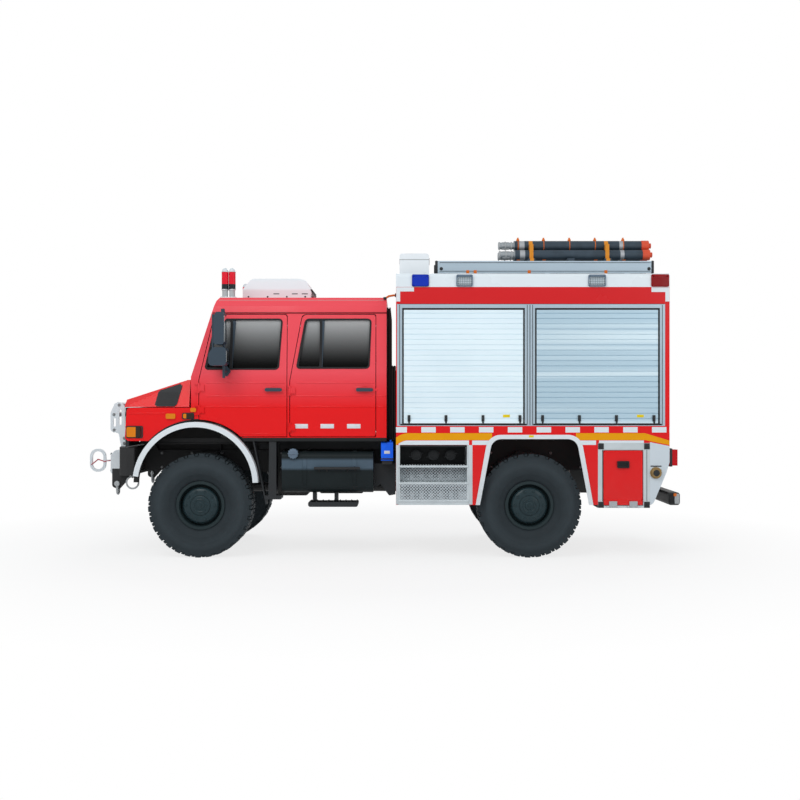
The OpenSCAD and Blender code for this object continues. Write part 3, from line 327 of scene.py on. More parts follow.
rubbers = {"front": rubber("tyre_rubber_front", front_axle), "rear": rubber("tyre_rubber_rear", rear_axle)}
rim_blue = satin_steel("rim_lacquer", (0.011, 0.022, 0.025), (0.022, 0.036, 0.04))
feed, place, _ = start_finish("hub_lacquer")
worn = grain(place, 9.0, 5.0)
hub_blue = feed(Base_Color=mix(worn, (0.01, 0.025, 0.031), (0.02, 0.04, 0.047)), Roughness=0.2 + worn * 0.15,
                Normal=bumps(grain(place, 60.0), 0.03, 0.002), Specular_IOR_Level=0.2)
lugs, half_pitch = 30, 6.0
hub_profile = ((0.2045, 1.066), (0.204, 1.074), (0.199, 1.084), (0.187, 1.0935), (0.168, 1.101), (0.142, 1.1055),
               (0.118, 1.107), (0.116, 1.102), (0.112, 1.102), (0.11, 1.11), (0.098, 1.1145), (0.05, 1.117))
block_sides = (0, 1, 3, 2), (4, 6, 7, 5), (0, 4, 5, 1), (2, 3, 7, 6), (1, 5, 7, 3), (0, 2, 6, 4)
for corner, (axle_x, side) in wheels.items():
    tyre_rubber = rubbers[corner.split("_")[0]]
    coat_nodes(tyre_rubber, "tyre_" + corner)
    coat_nodes(rim_blue, "rim_" + corner)
    tread = bmesh.new()
    for half, lead in ((1, 0.0), (-1, half_pitch)):
        for i in range(lugs):
            edges = [math.radians(lead + 2 * half_pitch * (i + part)) for part in (0.69, 0.98)]
            corners = [tread.verts.new(around(axle_x, side * (wheel_y + half * y), hub_z, r, turn))
                       for y in (0.03, 0.168) for turn in edges for r in (0.562, 0.587)]
            for ring in block_sides:
                tread.faces.new([corners[k] for k in ring])
    soften(tread, tread.edges[:], 0.003, 1)
    piece("tread_blocks_" + corner, tread, tyre_rubber, "wheel_" + corner)
    nuts = bmesh.new()
    ends = [nuts.verts.new((axle_x + r, side * y, hub_z)) for r, y in hub_profile]
    line = [nuts.edges.new(pair) for pair in zip(ends, ends[1:])]
    bmesh.ops.spin(nuts, geom=ends + line, cent=(axle_x, 0, hub_z), axis=(0, 1, 0), angle=math.tau, steps=64,
                   use_merge=True)
    bolts(nuts, [around(axle_x, side * 1.0995, hub_z, 0.163, turn) for turn in turns(10)], (0, side, 0), 0.013,
          0.014)
    hoop(nuts, (axle_x, side * 1.115, hub_z), (0, 1, 0), 0.072, 0.007, 36, 8)
    peg(nuts, axle_x, hub_z, side, 1.112, 1.1235, 0.052, 28, 0.046, 0.003)
    bolts(nuts, [(axle_x, side * 1.1235, hub_z)], (0, side, 0), 0.017, 0.012)
    piece("wheel_nuts_" + corner, nuts, hub_blue, "wheel_" + corner)

# Winch, rope and bull bar.
# Gloss white stoved enamel on welded steel. The drum carries wraps of steel rope, the fairlead is a
# plate with two rollers, and a red webbing strap hangs in the ring.


def paint_layers(name, tint, shade, dust):
    """Gloss paint before its markings: orange peel, clouds in the tint and a film of dust near the ground."""
    feed, place, axes = start_finish(name)
    cloud = grain(place, 1.3, 4.0)
    film = ((1.35 - axes[2]) * 1.1).clipped() * grain(place, 6.0, 5.0) * dust
    return feed, axes, grain(place, 320.0, 1.0), cloud, film, mix(cloud * 0.5, tint, shade)


def enamel(name, tint, shade, gloss=0.22, dust=0.0, sky=None, marks=None):
    """Gloss paint with orange peel, paler high up where a painted sky reflection is mixed in, dusty near the
    ground; marks gives (mask, tint) pairs.
    """
    feed, (x, y, z), peel, cloud, film, paint = paint_layers(name, tint, shade, dust)
    # Painted sky reflection: the sky tint pales the paint above the belt line.
    if sky:
        paint = mix(((z - 1.7) * 2.4).clipped() * 0.7, paint, sky)
    for mask, other in (marks(x, abs(y), z) if marks else []):
        paint = mix(mask, paint, other)
    return feed(Base_Color=mix(film, paint, (0.3, 0.27, 0.24)), Roughness=gloss + cloud * 0.08 + film * 0.5,
                Normal=bumps(peel, 0.03, 0.001), Specular_IOR_Level=0.15, Coat_Weight=0.11 - film * 0.1,
                Coat_Roughness=0.06)


def block(shape, low, high, edge=0.004, segments=2):
    """A box between two corners with rounded edges."""
    made = bmesh.ops.create_cube(shape, size=1.0)["verts"]
    bmesh.ops.scale(shape, vec=[b - a for a, b in zip(low, high)], verts=made)
    bmesh.ops.translate(shape, vec=[(a + b) / 2 for a, b in zip(low, high)], verts=made)
    if edge:
        soften(shape, {e for v in made for e in v.link_edges}, edge, segments)


def slab(shape, low, high, side, edge=0.003):
    """A box on one flank: y is measured outwards and put on the left (-1) or the right (+1)."""
    ys = sorted((side * low[1], side * high[1]))
    block(shape, (low[0], ys[0], low[2]), (high[0], ys[1], high[2]), edge)


def join(shape, part):
    """Adds a finished part to a larger mesh."""
    bmesh.ops.recalc_face_normals(part, faces=part.faces)
    carrier = meshed("part", part)
    shape.from_mesh(carrier)
    bpy.data.meshes.remove(carrier)


white_enamel = enamel("white_enamel", (0.77, 0.82, 0.85), (0.69, 0.75, 0.79), 0.22, 0.35)
coat_nodes(white_enamel, "winch", "bull_bar", "arch_trims")
wire_rope = satin_steel("wire_rope", (0.32, 0.34, 0.35), (0.2, 0.21, 0.21))
rope = bmesh.new()
for i in range(19):
    hoop(rope, (-3.095, -0.198 + i * 0.022, 1.04), (0, 1, 0), 0.07, 0.011, 24, 8)
piece("rope_wraps", rope, wire_rope)
fairlead = bmesh.new()
for z in (0.985, 1.105):
    rod(fairlead, (-3.186, -0.15, z), (-3.186, 0.15, z), 0.016, 16, None, 0.004)
for y in (-0.165, 0.165):
    block(fairlead, (-3.196, y - 0.012, 0.955), (-3.168, y + 0.012, 1.135), 0.005)
bolts(fairlead, [(-3.177, y, z) for y in (-0.3, 0.3) for z in (0.94, 1.14)], (-1, 0, 0), 0.013, 0.014)
piece("rope_fairlead", fairlead, galvanised)


def webbing(name, tint, shade):
    """Flat woven strap: fine ribs along and across."""
    feed, place, (x, y, z) = start_finish(name)
    weave = sine(x * 2600.0) * sine((y + z) * 2600.0)
    cloud = grain(place, 9.0, 4.0)
    return feed(Base_Color=mix(cloud * 0.7, tint, shade), Roughness=0.72 + cloud * 0.15,
                Normal=bumps(weave, 0.5, 0.001), Sheen_Weight=0.3)


red_webbing = webbing("red_webbing", (0.55, 0.02, 0.05), (0.42, 0.015, 0.04))
strap = bmesh.new()
for start, end in (((-3.5, 0.995), (-3.42, 1.06)), ((-3.425, 1.06), (-3.335, 1.03)),
                   ((-3.34, 1.033), (-3.25, 1.05))):
    length = bmesh.new()
    reach = math.hypot(end[0] - start[0], end[1] - start[1]) + 0.008
    block(length, (-reach / 2, -0.025, -0.004), (reach / 2, 0.025, 0.004), 0.003)
    lean = Matrix.Rotation(-math.atan2(end[1] - start[1], end[0] - start[0]), 4, "Y")
    middle = Vector(((start[0] + end[0]) / 2, 0, (start[1] + end[1]) / 2))
    bmesh.ops.transform(length, matrix=Matrix.Translation(middle) @ lean, verts=length.verts)
    join(strap, length)
piece("hook_strap", strap, red_webbing)
cheek_bolts = bmesh.new()
cheek_holes = (-2.925, 1.285), (-2.925, 1.345), (-3.045, 1.442), (-3.045, 1.622), (-2.985, 1.735)
for side in (-1, 1):
    bolts(cheek_bolts, [(x, side * 0.706, z) for x, z in cheek_holes], (0, side, 0), 0.013, 0.014)
piece("bull_bar_bolts", cheek_bolts, zinc)

# Grille and head lamps.
# A black moulded panel with slots, backed by fine wire mesh. Each round head lamp has a bright rim held
# by four screws, and a thin ring on its lens.


def moulding(name, tint, shade, rough=0.46):
    """Moulded plastic with a fine leather grain."""
    feed, place, _ = start_finish(name)
    leather = grain(place, 420.0, 2.0)
    cloud = grain(place, 4.0, 4.0)
    return feed(Base_Color=mix(cloud * 0.6, tint, shade), Roughness=rough + cloud * 0.18,
                Normal=bumps(leather, 0.12, 0.001), Specular_IOR_Level=0.3)


black_plastic = moulding("black_plastic", (0.012, 0.014, 0.016), (0.03, 0.034, 0.038))
coat_nodes(black_plastic, "grille", "dashboard", "mudguards")
mesh_wires = bmesh.new()
for i in range(29):
    block(mesh_wires, (-2.7885, -0.565 + i * 0.04, 1.405), (-2.7845, -0.561 + i * 0.04, 1.7), 0)
for i in range(8):
    block(mesh_wires, (-2.7885, -0.57, 1.41 + i * 0.04), (-2.7845, 0.57, 1.414 + i * 0.04), 0)
piece("grille_mesh", mesh_wires, black_steel)
bright = satin_steel("bright_trim", (0.62, 0.64, 0.66), (0.52, 0.54, 0.55), 0.9)
lamp_rims = bmesh.new()
for side in (-1, 1):
    centre = (-2.842, side * 0.83, 1.43)
    hoop(lamp_rims, centre, (1, 0, 0), 0.103, 0.011, 40, 10)
    hoop(lamp_rims, (-2.853, side * 0.83, 1.43), (1, 0, 0), 0.05, 0.004, 32, 8)
    bolts(lamp_rims, [(-2.83, side * 0.83 + y, 1.43 + z) for z in (0.1, -0.1) for y in (0.1, -0.1)],
          (-1, 0, 0), 0.007, 0.008)
piece("head_lamp_rims", lamp_rims, bright)

# Red coachwork: fenders, bonnet, cab and doors.
# Pressed steel in two-pack fire red under clear lacquer. Long pressed lines stiffen the panels, and
# they run at the same heights over the fender, both doors and the rear corner.
reds = (0.84, 0.006, 0.008), (0.76, 0.004, 0.006), 0.2, 0.1
# The first colour below, a paler and pinker red, is a painted sky reflection for the upper cab and doors.
painted_reflection_red, underseal_and_painted_shade, lining_grey = (0.88, 0.11, 0.145), (0.01, 0.012, 0.013), (0.13, 0.14, 0.15)


def arch_edge(x, far, z):
    """A black ring round the wheel arch, the arch's rubber lip with painted shade along it, and black inside the
    fender.
    """
    across, up = x + 2.007, z - 0.832
    # The ring is part rubber lip, part painted shade along the arch.
    ring = hypotenuse(across, up) < 0.738
    return [(ring | (far < 1.071), underseal_and_painted_shade)]


def door_lining(x, far, z):
    """Grey lining on the inner half of doors and pillars, which lean in above the belt."""
    return [(far < 1.055 - ((z - 2.08) * 1.4225).clipped() * 0.055, lining_grey)]


def side_lining(x, far, z):
    """The same lining, with that black ring round the arch and painted shade in the same black below the doors.
    """
    across, up = x + 2.007, z - 0.832
    ring = hypotenuse(across, up) < 0.744
    # Below z = 1.362 the black is painted shade under the cab.
    return door_lining(x, far, z) + [(ring | (z < 1.362), underseal_and_painted_shade)]


def floor_lining(x, far, z):
    """Rubber on the floor, lining on the walls inside, and painted shade below the doors."""
    # Below z = 1.41 the black is painted shade under the cab.
    floor_rubber_and_painted_shade = z.within(1.59, 1.66) | (z < 1.41)
    return [(x.within(-2.03, 0.141), lining_grey), (floor_rubber_and_painted_shade, (0.02, 0.021, 0.022))]


def roof_lining(x, far, z):
    """A pale head lining under the roof."""
    return [((far < 0.955) & (z < 2.947) & x.within(-1.772, 0.141), (0.4, 0.4, 0.38))]


fire_red = enamel("fire_red", *reds, painted_reflection_red)
coat_nodes(enamel("bonnet_red", *reds), "bonnet")
coat_nodes(enamel("fender_red", *reds, None, arch_edge), "front_fenders")
coat_nodes(enamel("cab_side_red", *reds, painted_reflection_red, side_lining), "cab_sides")
coat_nodes(enamel("cab_floor_red", *reds, painted_reflection_red, floor_lining), "cab_tub")
coat_nodes(enamel("cab_roof_red", *reds, painted_reflection_red, roof_lining), "cab_roof")
door_red = enamel("door_red", *reds, painted_reflection_red, door_lining)
for corner in wheels:
    coat_nodes(door_red, "door_" + corner)


def cab_skin(z):
    """How far the cab's side stands from the middle at a height: upright to the belt, then leaning in."""
    return 1.075 - 0.055 * max(0.0, min(1.0, (z - 2.08) / 0.703))


def pressed_line(shape, x0, x1, z, side):
    """A long raised bead of rounded section on the flank."""
    y, half_height = cab_skin(z), 0.009
    slab(shape, (x0, y - 0.004, z - half_height), (x1, y + 0.005, z + half_height), side, 0.0045)


hands, rear_lines = {"left": -1, "right": 1}, (1.838, 1.716)
for hand, side in hands.items():
    for row, x0, x1 in (("front", -1.9, -0.996), ("rear", -0.87, 0.02)):
        beads = bmesh.new()
        for z in (1.99, *rear_lines):
            pressed_line(beads, x0, x1, z, side)
        if row == "front":
            slab(beads, (-1.53, 1.071, 1.4), (x1, 1.0785, 1.412), side)
        piece("pressed_lines_%s_%s" % (row, hand), beads, fire_red, "door_%s_%s" % (row, hand))
    beads = bmesh.new()
    for z in rear_lines:
        pressed_line(beads, 0.052, 0.158, z, side)
    pressed_line(beads, -2.775, -2.34, 1.64, side)
    piece("pressed_lines_cab_" + hand, beads, fire_red)

# Side vents of the bonnet.
# A black moulded grid is let into each flank of the bonnet, with slanted fins inside a raised frame.
# It follows the bend of the flank and opens with the bonnet.


def thicken(shape, faces, shift):
    """Grows faces into a plate and gives the corners of its far side."""
    grown = bmesh.ops.extrude_face_region(shape, geom=faces)["geom"]
    tops = [g for g in grown if isinstance(g, bmesh.types.BMVert)]
    bmesh.ops.translate(shape, vec=shift, verts=tops)
    return tops


def draped(shape, outline, node, side, lift, thick):
    """A thin panel drawn in side view, laid on a solid by looking across the truck, and thickened outwards."""
    shape.faces.new([shape.verts.new((x, 0.0, z)) for x, z in outline])
    for axis, along in ((0, (1, 0, 0)), (1, (0, 0, 1))):
        low, high = min(spot[axis] for spot in outline), max(spot[axis] for spot in outline)
        for i in range(1, 14):
            bmesh.ops.bisect_plane(shape, geom=shape.verts[:] + shape.edges[:] + shape.faces[:], dist=0.0001,
                                   plane_co=Vector(along) * (low + (high - low) * i / 14), plane_no=along)
    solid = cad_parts[node]
    for v in shape.verts:
        hit, spot, _, _ = solid.ray_cast(Vector((v.co.x, side * 3.0, v.co.z)), Vector((0, -side, 0)))
        v.co.y = (spot.y if hit else side * 1.0) + side * lift
    thicken(shape, shape.faces[:], (0, side * thick, 0))


vent = [(-2.484, 1.742), (-2.462, 1.72), (-2.262, 1.72), (-2.232, 1.748), (-2.182, 1.955), (-2.208, 1.978),
        (-2.436, 1.905), (-2.452, 1.884)]
for hand, side in hands.items():
    panel = bmesh.new()
    draped(panel, vent, "bonnet", side, -0.004, 0.013)
    piece("bonnet_vent_" + hand, panel, black_plastic, "bonnet")
    fins = bmesh.new()
    for i in range(6):
        z = 1.742 + i * 0.026
        left, right = -2.464 + (z - 1.742) * 0.17, -2.252 + (z - 1.742) * 0.26
        fin = bmesh.new()
        draped(fin, [(left, z), (right, z), (right + 0.003, z + 0.01), (left + 0.002, z + 0.01)], "bonnet",
               side, 0.006, 0.008)
        join(fins, fin)
    piece("bonnet_vent_fins_" + hand, fins, black_steel, "bonnet")
washer_jets = bmesh.new()
for side in (-0.28, 0.28):
    rod(washer_jets, (-2.16, side, 2.012), (-2.16, side, 2.034), 0.014, 14, 0.009, 0.002)
    block(washer_jets, (-2.185, side - 0.012, 2.006), (-2.135, side + 0.012, 2.018))
piece("washer_jets", washer_jets, black_plastic, "bonnet")

# Engine bay and bonnet lining.
# A ribbed cover with its intake pipe on the engine block, a radiator behind the grille, an air cleaner, a
# battery on its tray and a water bottle. Quilted pads line the bonnet and open with it.
engine_gear, bay_gear, bottle = bmesh.new(), bmesh.new(), bmesh.new()
block(engine_gear, (-2.56, -0.125, 1.556), (-2.12, 0.125, 1.64), 0.022, 3)
for i in range(8):
    block(engine_gear, (-2.525 + i * 0.052, -0.105, 1.636), (-2.511 + i * 0.052, 0.105, 1.65))
bolts(engine_gear, [(x, y, 1.56) for x in (-2.52, -2.34, -2.16) for y in (-0.145, 0.145)], (0, 0, 1), 0.01,
      0.016)
rod(engine_gear, (-2.6, 0.215, 1.598), (-2.14, 0.215, 1.598), 0.036, 20, None, 0.008)
for x in (-2.5, -2.39, -2.28, -2.18):
    rod(engine_gear, (x, 0.11, 1.6), (x, 0.215, 1.6), 0.02, 14)
block(engine_gear, (-2.745, -0.5, 1.575), (-2.69, 0.5, 1.63), 0.012, 3)
piece("engine_cover_and_intake", engine_gear, zinc)
block(bay_gear, (-2.738, -0.49, 1.2), (-2.7, 0.49, 1.58))
for i in range(48):
    block(bay_gear, (-2.702, -0.484 + i * 0.0204, 1.205), (-2.695, -0.478 + i * 0.0204, 1.576), 0)
for bend in (((-2.715, 0.1, 1.61), (-2.66, 0.1, 1.652)), ((-2.665, 0.1, 1.65), (-2.6, 0.06, 1.655)),
             ((-2.606, 0.063, 1.655), (-2.535, 0.03, 1.618))):
    rod(bay_gear, *bend, 0.027, 18, None, 0.006)
rod(bay_gear, (-2.52, 0.42, 1.66), (-2.2, 0.42, 1.66), 0.1, 32, None, 0.014)
for x in (-2.47, -2.25):
    hoop(bay_gear, (x, 0.42, 1.66), (1, 0, 0), 0.101, 0.008, 32, 8)
block(bay_gear, (-2.4, 0.39, 1.455), (-2.32, 0.6, 1.575), 0.008)
rod(bay_gear, (-2.215, 0.42, 1.665), (-2.135, 0.33, 1.63), 0.036, 18, None, 0.006)
rod(bay_gear, (-2.14, 0.34, 1.633), (-2.14, 0.215, 1.598), 0.036, 18, None, 0.006)
block(bay_gear, (-2.7, -0.78, 1.362), (-2.51, -0.5, 1.545), 0.01)
block(bay_gear, (-2.712, -0.795, 1.345), (-2.49, -0.485, 1.366))
for y in (-0.71, -0.64, -0.57):
    rod(bay_gear, (-2.605, y, 1.543), (-2.605, y, 1.556), 0.018, 16, None, 0.003)
rod(bay_gear, (-2.215, -0.7, 1.655), (-2.215, -0.7, 1.69), 0.034, 20, 0.031, 0.004)
rod(bay_gear, (-2.45, 0.0, 1.645), (-2.45, 0.0, 1.682), 0.036, 20, 0.033, 0.004)
piece("engine_bay_gear", bay_gear, black_plastic)
block(bottle, (-2.3, -0.8, 1.48), (-2.13, -0.6, 1.66), 0.03, 3)
bottle_white = moulding("bottle_white", (0.6, 0.6, 0.54), (0.52, 0.52, 0.46), 0.35)
piece("water_bottle", bottle, bottle_white)
pads = bmesh.new()
for x0, x1 in ((-2.7, -2.435), (-2.415, -2.15)):
    for y0, y1 in ((-0.78, -0.27), (-0.25, 0.25), (0.27, 0.78)):
        block(pads, (x0, y0, -0.016), (x1, y1, 0.006), 0.01, 3)
block(pads, (-2.738, -0.03, -0.052), (-2.718, 0.03, 0.006), 0.006)
for v in pads.verts:
    v.co.z += 1.798 + 0.317 * (v.co.x + 2.75) - 0.0125 * abs(v.co.y)
piece("bonnet_pads", pads, black_plastic, "bonnet")

# Panes with their rubber seals.
# Dark safety glass, paled towards the top by a painted sky reflection, held in black profile rubber, with a
# quarter pane in each door. The windscreen stands in the same rubber.


def tinted(name):
    feed, place, (x, y, z) = start_finish(name)
    haze = grain(place, 3.0)
    # Painted sky reflection: the pane's colour pales from near black at the belt to grey at the top.
    painted_reflection_rise = ((z - 2.16) * 1.75).clipped()
    film = mix(painted_reflection_rise * painted_reflection_rise, (0.001, 0.001, 0.001), (0.5, 0.51, 0.51))
    return feed(Base_Color=film, Roughness=0.04 + haze * 0.03, Alpha=0.985 - painted_reflection_rise * 0.06,
                Specular_IOR_Level=0.06)


def rounded_frame(shape, outline, corner, width, proud, side, skin):
    """Adds a frame drawn in side view: rounded, inset, opened, laid on a skin and thickened outwards."""
    ring = bmesh.new()
    face = ring.faces.new([ring.verts.new((x, 0.0, z)) for x, z in outline])
    soften(ring, face.verts[:], corner, 4, "VERTICES")
    face = ring.faces[:][0]
    bmesh.ops.inset_region(ring, faces=[face], thickness=width, use_boundary=True, use_even_offset=True)
    bmesh.ops.delete(ring, geom=[face], context="FACES_ONLY")
    for v in ring.verts:
        v.co.y = side * skin(v.co.z)
    thicken(ring, ring.faces[:], (0, side * proud, 0))
    join(shape, ring)


def pane_bed(z):
    return cab_skin(z) - 0.006


dark_pane = tinted("dark_pane")
coat_nodes(dark_pane, "cab_glass")
for corner in wheels:
    coat_nodes(dark_pane, "glass_" + corner)
profile_rubber = moulding("profile_rubber", (0.008, 0.008, 0.009), (0.016, 0.016, 0.018), 0.6)
front_pane = [(-1.922, 2.138), (-1.067, 2.138), (-1.025, 2.727), (-1.796, 2.727)]
rear_pane = [(-0.875, 2.149), (-0.031, 2.149), (-0.008, 2.727), (-0.771, 2.727)]
for hand, side in hands.items():
    for row, outline, post in (("front", front_pane, -1.6), ("rear", rear_pane, -0.577)):
        ring = bmesh.new()
        rounded_frame(ring, outline, 0.045, 0.02, 0.01, side, pane_bed)
        quarter = [outline[0], (post, outline[0][1]), (post, outline[3][1]), outline[3]]
        rounded_frame(ring, quarter, 0.045, 0.026, 0.013, side, pane_bed)
        piece("pane_seal_%s_%s" % (row, hand), ring, profile_rubber,
              "door_%s_%s" % (row, hand))


def screen_point(y, z, lift):
    """A point on the outside of the sloping windscreen, lifted off the glass."""
    return Vector((-2.051 + (z - 2.056) * 0.31 - lift * 0.955, y, z + lift * 0.296))


screen_rubber = bmesh.new()
corners = [(-1.005, 2.075), (1.005, 2.075), (0.955, 2.785), (0.865, 2.9), (-0.865, 2.9), (-0.955, 2.785)]
for (ya, za), (yb, zb) in zip(corners, corners[1:] + corners[:1]):
    rod(screen_rubber, screen_point(ya, za, 0.001), screen_point(yb, zb, 0.001), 0.013, 10)
piece("windscreen_rubber", screen_rubber, profile_rubber)

# Wipers.
# Two pressed arms with a spring hump and a rubber blade, parked low on the windscreen.
wipers = bmesh.new()
for y in (-0.62, 0.22):
    foot = screen_point(y, 2.085, 0.028)
    elbow = screen_point(y + 0.05, 2.2, 0.03)
    tip = screen_point(y + 0.33, 2.245, 0.022)
    rod(wipers, screen_point(y, 2.085, -0.004), screen_point(y, 2.085, 0.04), 0.022, 16, 0.017, 0.003)
    rod(wipers, foot, elbow, 0.011, 10, 0.008)
    rod(wipers, elbow, tip, 0.008, 10, 0.006)
    rod(wipers, screen_point(y + 0.02, 2.205, 0.012), screen_point(y + 0.62, 2.29, 0.012), 0.009, 8, 0.008)
piece("wipers", wipers, black_steel)

# Gutter and gusset between cab and body.
# A rolled seam forms the rain gutter over the doors. A ribbed rubber gusset stands on the back of the cab
# and is wider low down, where it keeps spray out of the gap.
gutter, gusset = bmesh.new(), bmesh.new()
for side in (-1, 1):
    slab(gutter, (-1.835, 1.014, 2.786), (0.162, 1.029, 2.799), side, 0.004)
    slab(gusset, (0.1635, 0.895, 1.335), (0.2685, 0.912, 2.185), side)
    slab(gusset, (0.1635, 0.895, 2.18), (0.208, 0.912, 2.85), side)
    for i in range(4):
        x, wide, top = 0.166 + i * 0.026, 0.975 - 0.014 * (i % 2), 2.86 if i < 2 else 2.19
        slab(gusset, (x, wide - 0.07, 1.33), (x + 0.018, wide, top), side, 0.006)
for i in range(2):
    block(gusset, (0.166 + i * 0.026, -0.92, 2.8), (0.184 + i * 0.026, 0.92, 2.86 - 0.012 * (i % 2)), 0.006)
# The gutter's deep red is painted shade: the red seam as it looks in the shadow of its lip.
painted_shade_red = enamel("painted_shade_red", (0.2, 0.01, 0.014), (0.15, 0.006, 0.01), 0.4)
piece("rain_gutter", gutter, painted_shade_red)
piece("cab_gusset", gusset, profile_rubber)

# Door fittings: mirrors, handles and reflectors.
# Moulded housings in dark blue-grey with mirror glass on the rear face, a pull handle in a dished
# recess with a lock barrel, and three plain white reflectors on each rear door.
mirror_grey = moulding("mirror_grey", (0.026, 0.045, 0.066), (0.04, 0.062, 0.086), 0.4)
feed, place, _ = start_finish("mirror_glass")
silvered = feed(Base_Color=(0.75, 0.78, 0.8), Metallic=1.0, Roughness=0.03 + grain(place, 5.0) * 0.03)
feed, place, (x, y, z) = start_finish("reflector_white")
cells = sine(x * 900.0) * sine(z * 900.0)
reflector_white = feed(Base_Color=mix(grain(place, 30.0), (0.74, 0.77, 0.8), (0.66, 0.7, 0.73)), Roughness=0.25,
                       Normal=bumps(cells, 0.3, 0.001), Coat_Weight=0.5)
for corner in wheels:
    coat_nodes(mirror_grey, "fittings_" + corner)
for hand, side in hands.items():
    glass = bmesh.new()
    for z0, z1, x in ((2.444, 2.74, -1.643), (2.216, 2.34, -1.619)):
        slab(glass, (x - 0.001, 1.235, z0), (x + 0.003, 1.4, z1), side, 0.0015)
    piece("mirror_glass_" + hand, glass, silvered, "door_front_" + hand)
    for row, x in (("front", -1.226), ("rear", -0.186)):
        dish = bmesh.new()
        slab(dish, (x - 0.016, 1.0715, 1.872), (x + 0.21, 1.0765, 1.95), side, 0.002)
        hoop(dish, (x + 0.097, side * 1.0765, 1.911), (0, 1, 0), 0.04, 0.0035, 24, 6)
        peg(dish, x + 0.232, 1.911, side, 1.072, 1.081, 0.015, 18, 0.013, 0.002)
        piece("handle_dish_%s_%s" % (row, hand), dish, fire_red, "door_%s_%s" % (row, hand))
    lights = bmesh.new()
    for x0 in (-0.889, -0.592, -0.289):
        slab(lights, (x0, 1.073, 1.468), (x0 + 0.154, 1.0785, 1.519), side)
    piece("door_reflectors_" + hand, lights, reflector_white, "door_rear_" + hand)

# Seats.
# Two front seats and the crew bench: folded steel boxes carry foam cushions in dark woven cloth, with
# sewn cross channels, loose back pads and head rests on bright posts.


def woven(name, tint, shade):
    feed, place, (x, y, z) = start_finish(name)
    weave = sine(x * 1500.0 + z * 1500.0) * sine(y * 1500.0)
    cloud = grain(place, 14.0, 5.0)
    return feed(Base_Color=mix(cloud * 0.8, tint, shade), Roughness=0.8 + cloud * 0.12,
                Normal=bumps(weave + cloud * 0.6, 0.45, 0.0015), Sheen_Weight=0.35, Sheen_Roughness=0.5)


seat_cloth = woven("seat_cloth", (0.03, 0.033, 0.04), (0.062, 0.066, 0.075))


def cushion(name, low, high, lean, channels, across):
    """A foam pad: a rounded block, blown up a little as cloth, then sewn through in channels."""
    shape = bmesh.new()
    block(shape, low, high, 0.03, 3)
    middle = Vector([(a + b) / 2 for a, b in zip(low, high)])
    foot = Vector((middle.x, middle.y, low[2]))
    pad = placed(name, meshed(name, shape))
    pad.modifiers.new("even_net", "REMESH").voxel_size = 0.014
    deps = bpy.context.evaluated_depsgraph_get()
    net = bpy.data.meshes.new_from_object(pad.evaluated_get(deps))
    pad.modifiers.clear()
    pad.data = net
    rest = [v.co.copy() for v in net.vertices]
    swell = pad.modifiers.new("swell", "CLOTH")
    swell.settings.use_pressure = True
    swell.settings.uniform_pressure_force = 4.0
    swell.settings.effector_weights.gravity = 0.0
    for step in range(1, 13):
        bpy.context.scene.frame_set(step)
    blown = bpy.data.meshes.new_from_object(pad.evaluated_get(bpy.context.evaluated_depsgraph_get()))
    for v, was in zip(net.vertices, rest):
        shift = blown.vertices[v.index].co - was
        v.co = was + shift * min(1.0, 0.012 / max(shift.length, 0.0001))
    pad.modifiers.clear()
    bpy.data.meshes.remove(blown)
    bpy.context.scene.frame_set(1)
    size = high[across] - low[across]
    for v in net.vertices:
        for i in range(1, channels):
            gap = abs(v.co[across] - (low[across] + size * i / channels))
            if gap < 0.022:
                inward = middle - v.co
                inward[across] = 0.0
                v.co += inward.normalized() * 0.009 * (1 - gap / 0.022)
    turn = Matrix.Translation(foot) @ Matrix.Rotation(math.radians(lean), 4, "Y") @ Matrix.Translation(-foot)
    net.transform(turn)
    net.materials.append(seat_cloth)
    net.polygons.foreach_set("use_smooth", [True] * len(net.polygons))
    pad.modifiers.new("soft", "SUBSURF").levels = 1
    pad.modifiers["soft"].render_levels = 1
    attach(pad, "chassis")


seat_frames = bmesh.new()
for y0, y1, x in ((-0.785, -0.275, -1.28), (0.275, 0.785, -1.28), (-0.925, 0.925, -0.49)):
    block(seat_frames, (x, y0, 1.361), (x + 0.425, y1, 1.7), 0.012)
    for y in (y0 + 0.12, y1 - 0.12):
        rod(seat_frames, (x + 0.48, y, 2.16), (x + 0.525, y, 2.295), 0.008, 10)
frames_piece = piece("seat_frames", seat_frames, black_steel)
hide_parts("seats")
for name, y0, y1, x, count in (("driver", -0.775, -0.285, -1.28, 1), ("mate", 0.285, 0.775, -1.28, 1),
                               ("crew", -0.915, 0.915, -0.49, 3)):
    wide = (y1 - y0) / count
    for i in range(count):
        a, b = y0 + wide * i + 0.006, y0 + wide * (i + 1) - 0.006
        tag = name + ("_%d" % (i + 1) if count > 1 else "")
        cushion("seat_cushion_" + tag, (x - 0.03, a, 1.712), (x + 0.395, b, 1.838), 0.0, 4, 0)
        cushion("seat_back_" + tag, (x + 0.375, a, 1.855), (x + 0.475, b, 2.215), 15.0, 4, 2)
        cushion("head_rest_" + tag, (x + 0.49, (a + b) / 2 - 0.13, 2.235),
                (x + 0.57, (a + b) / 2 + 0.13, 2.335), 0.0, 1, 2)

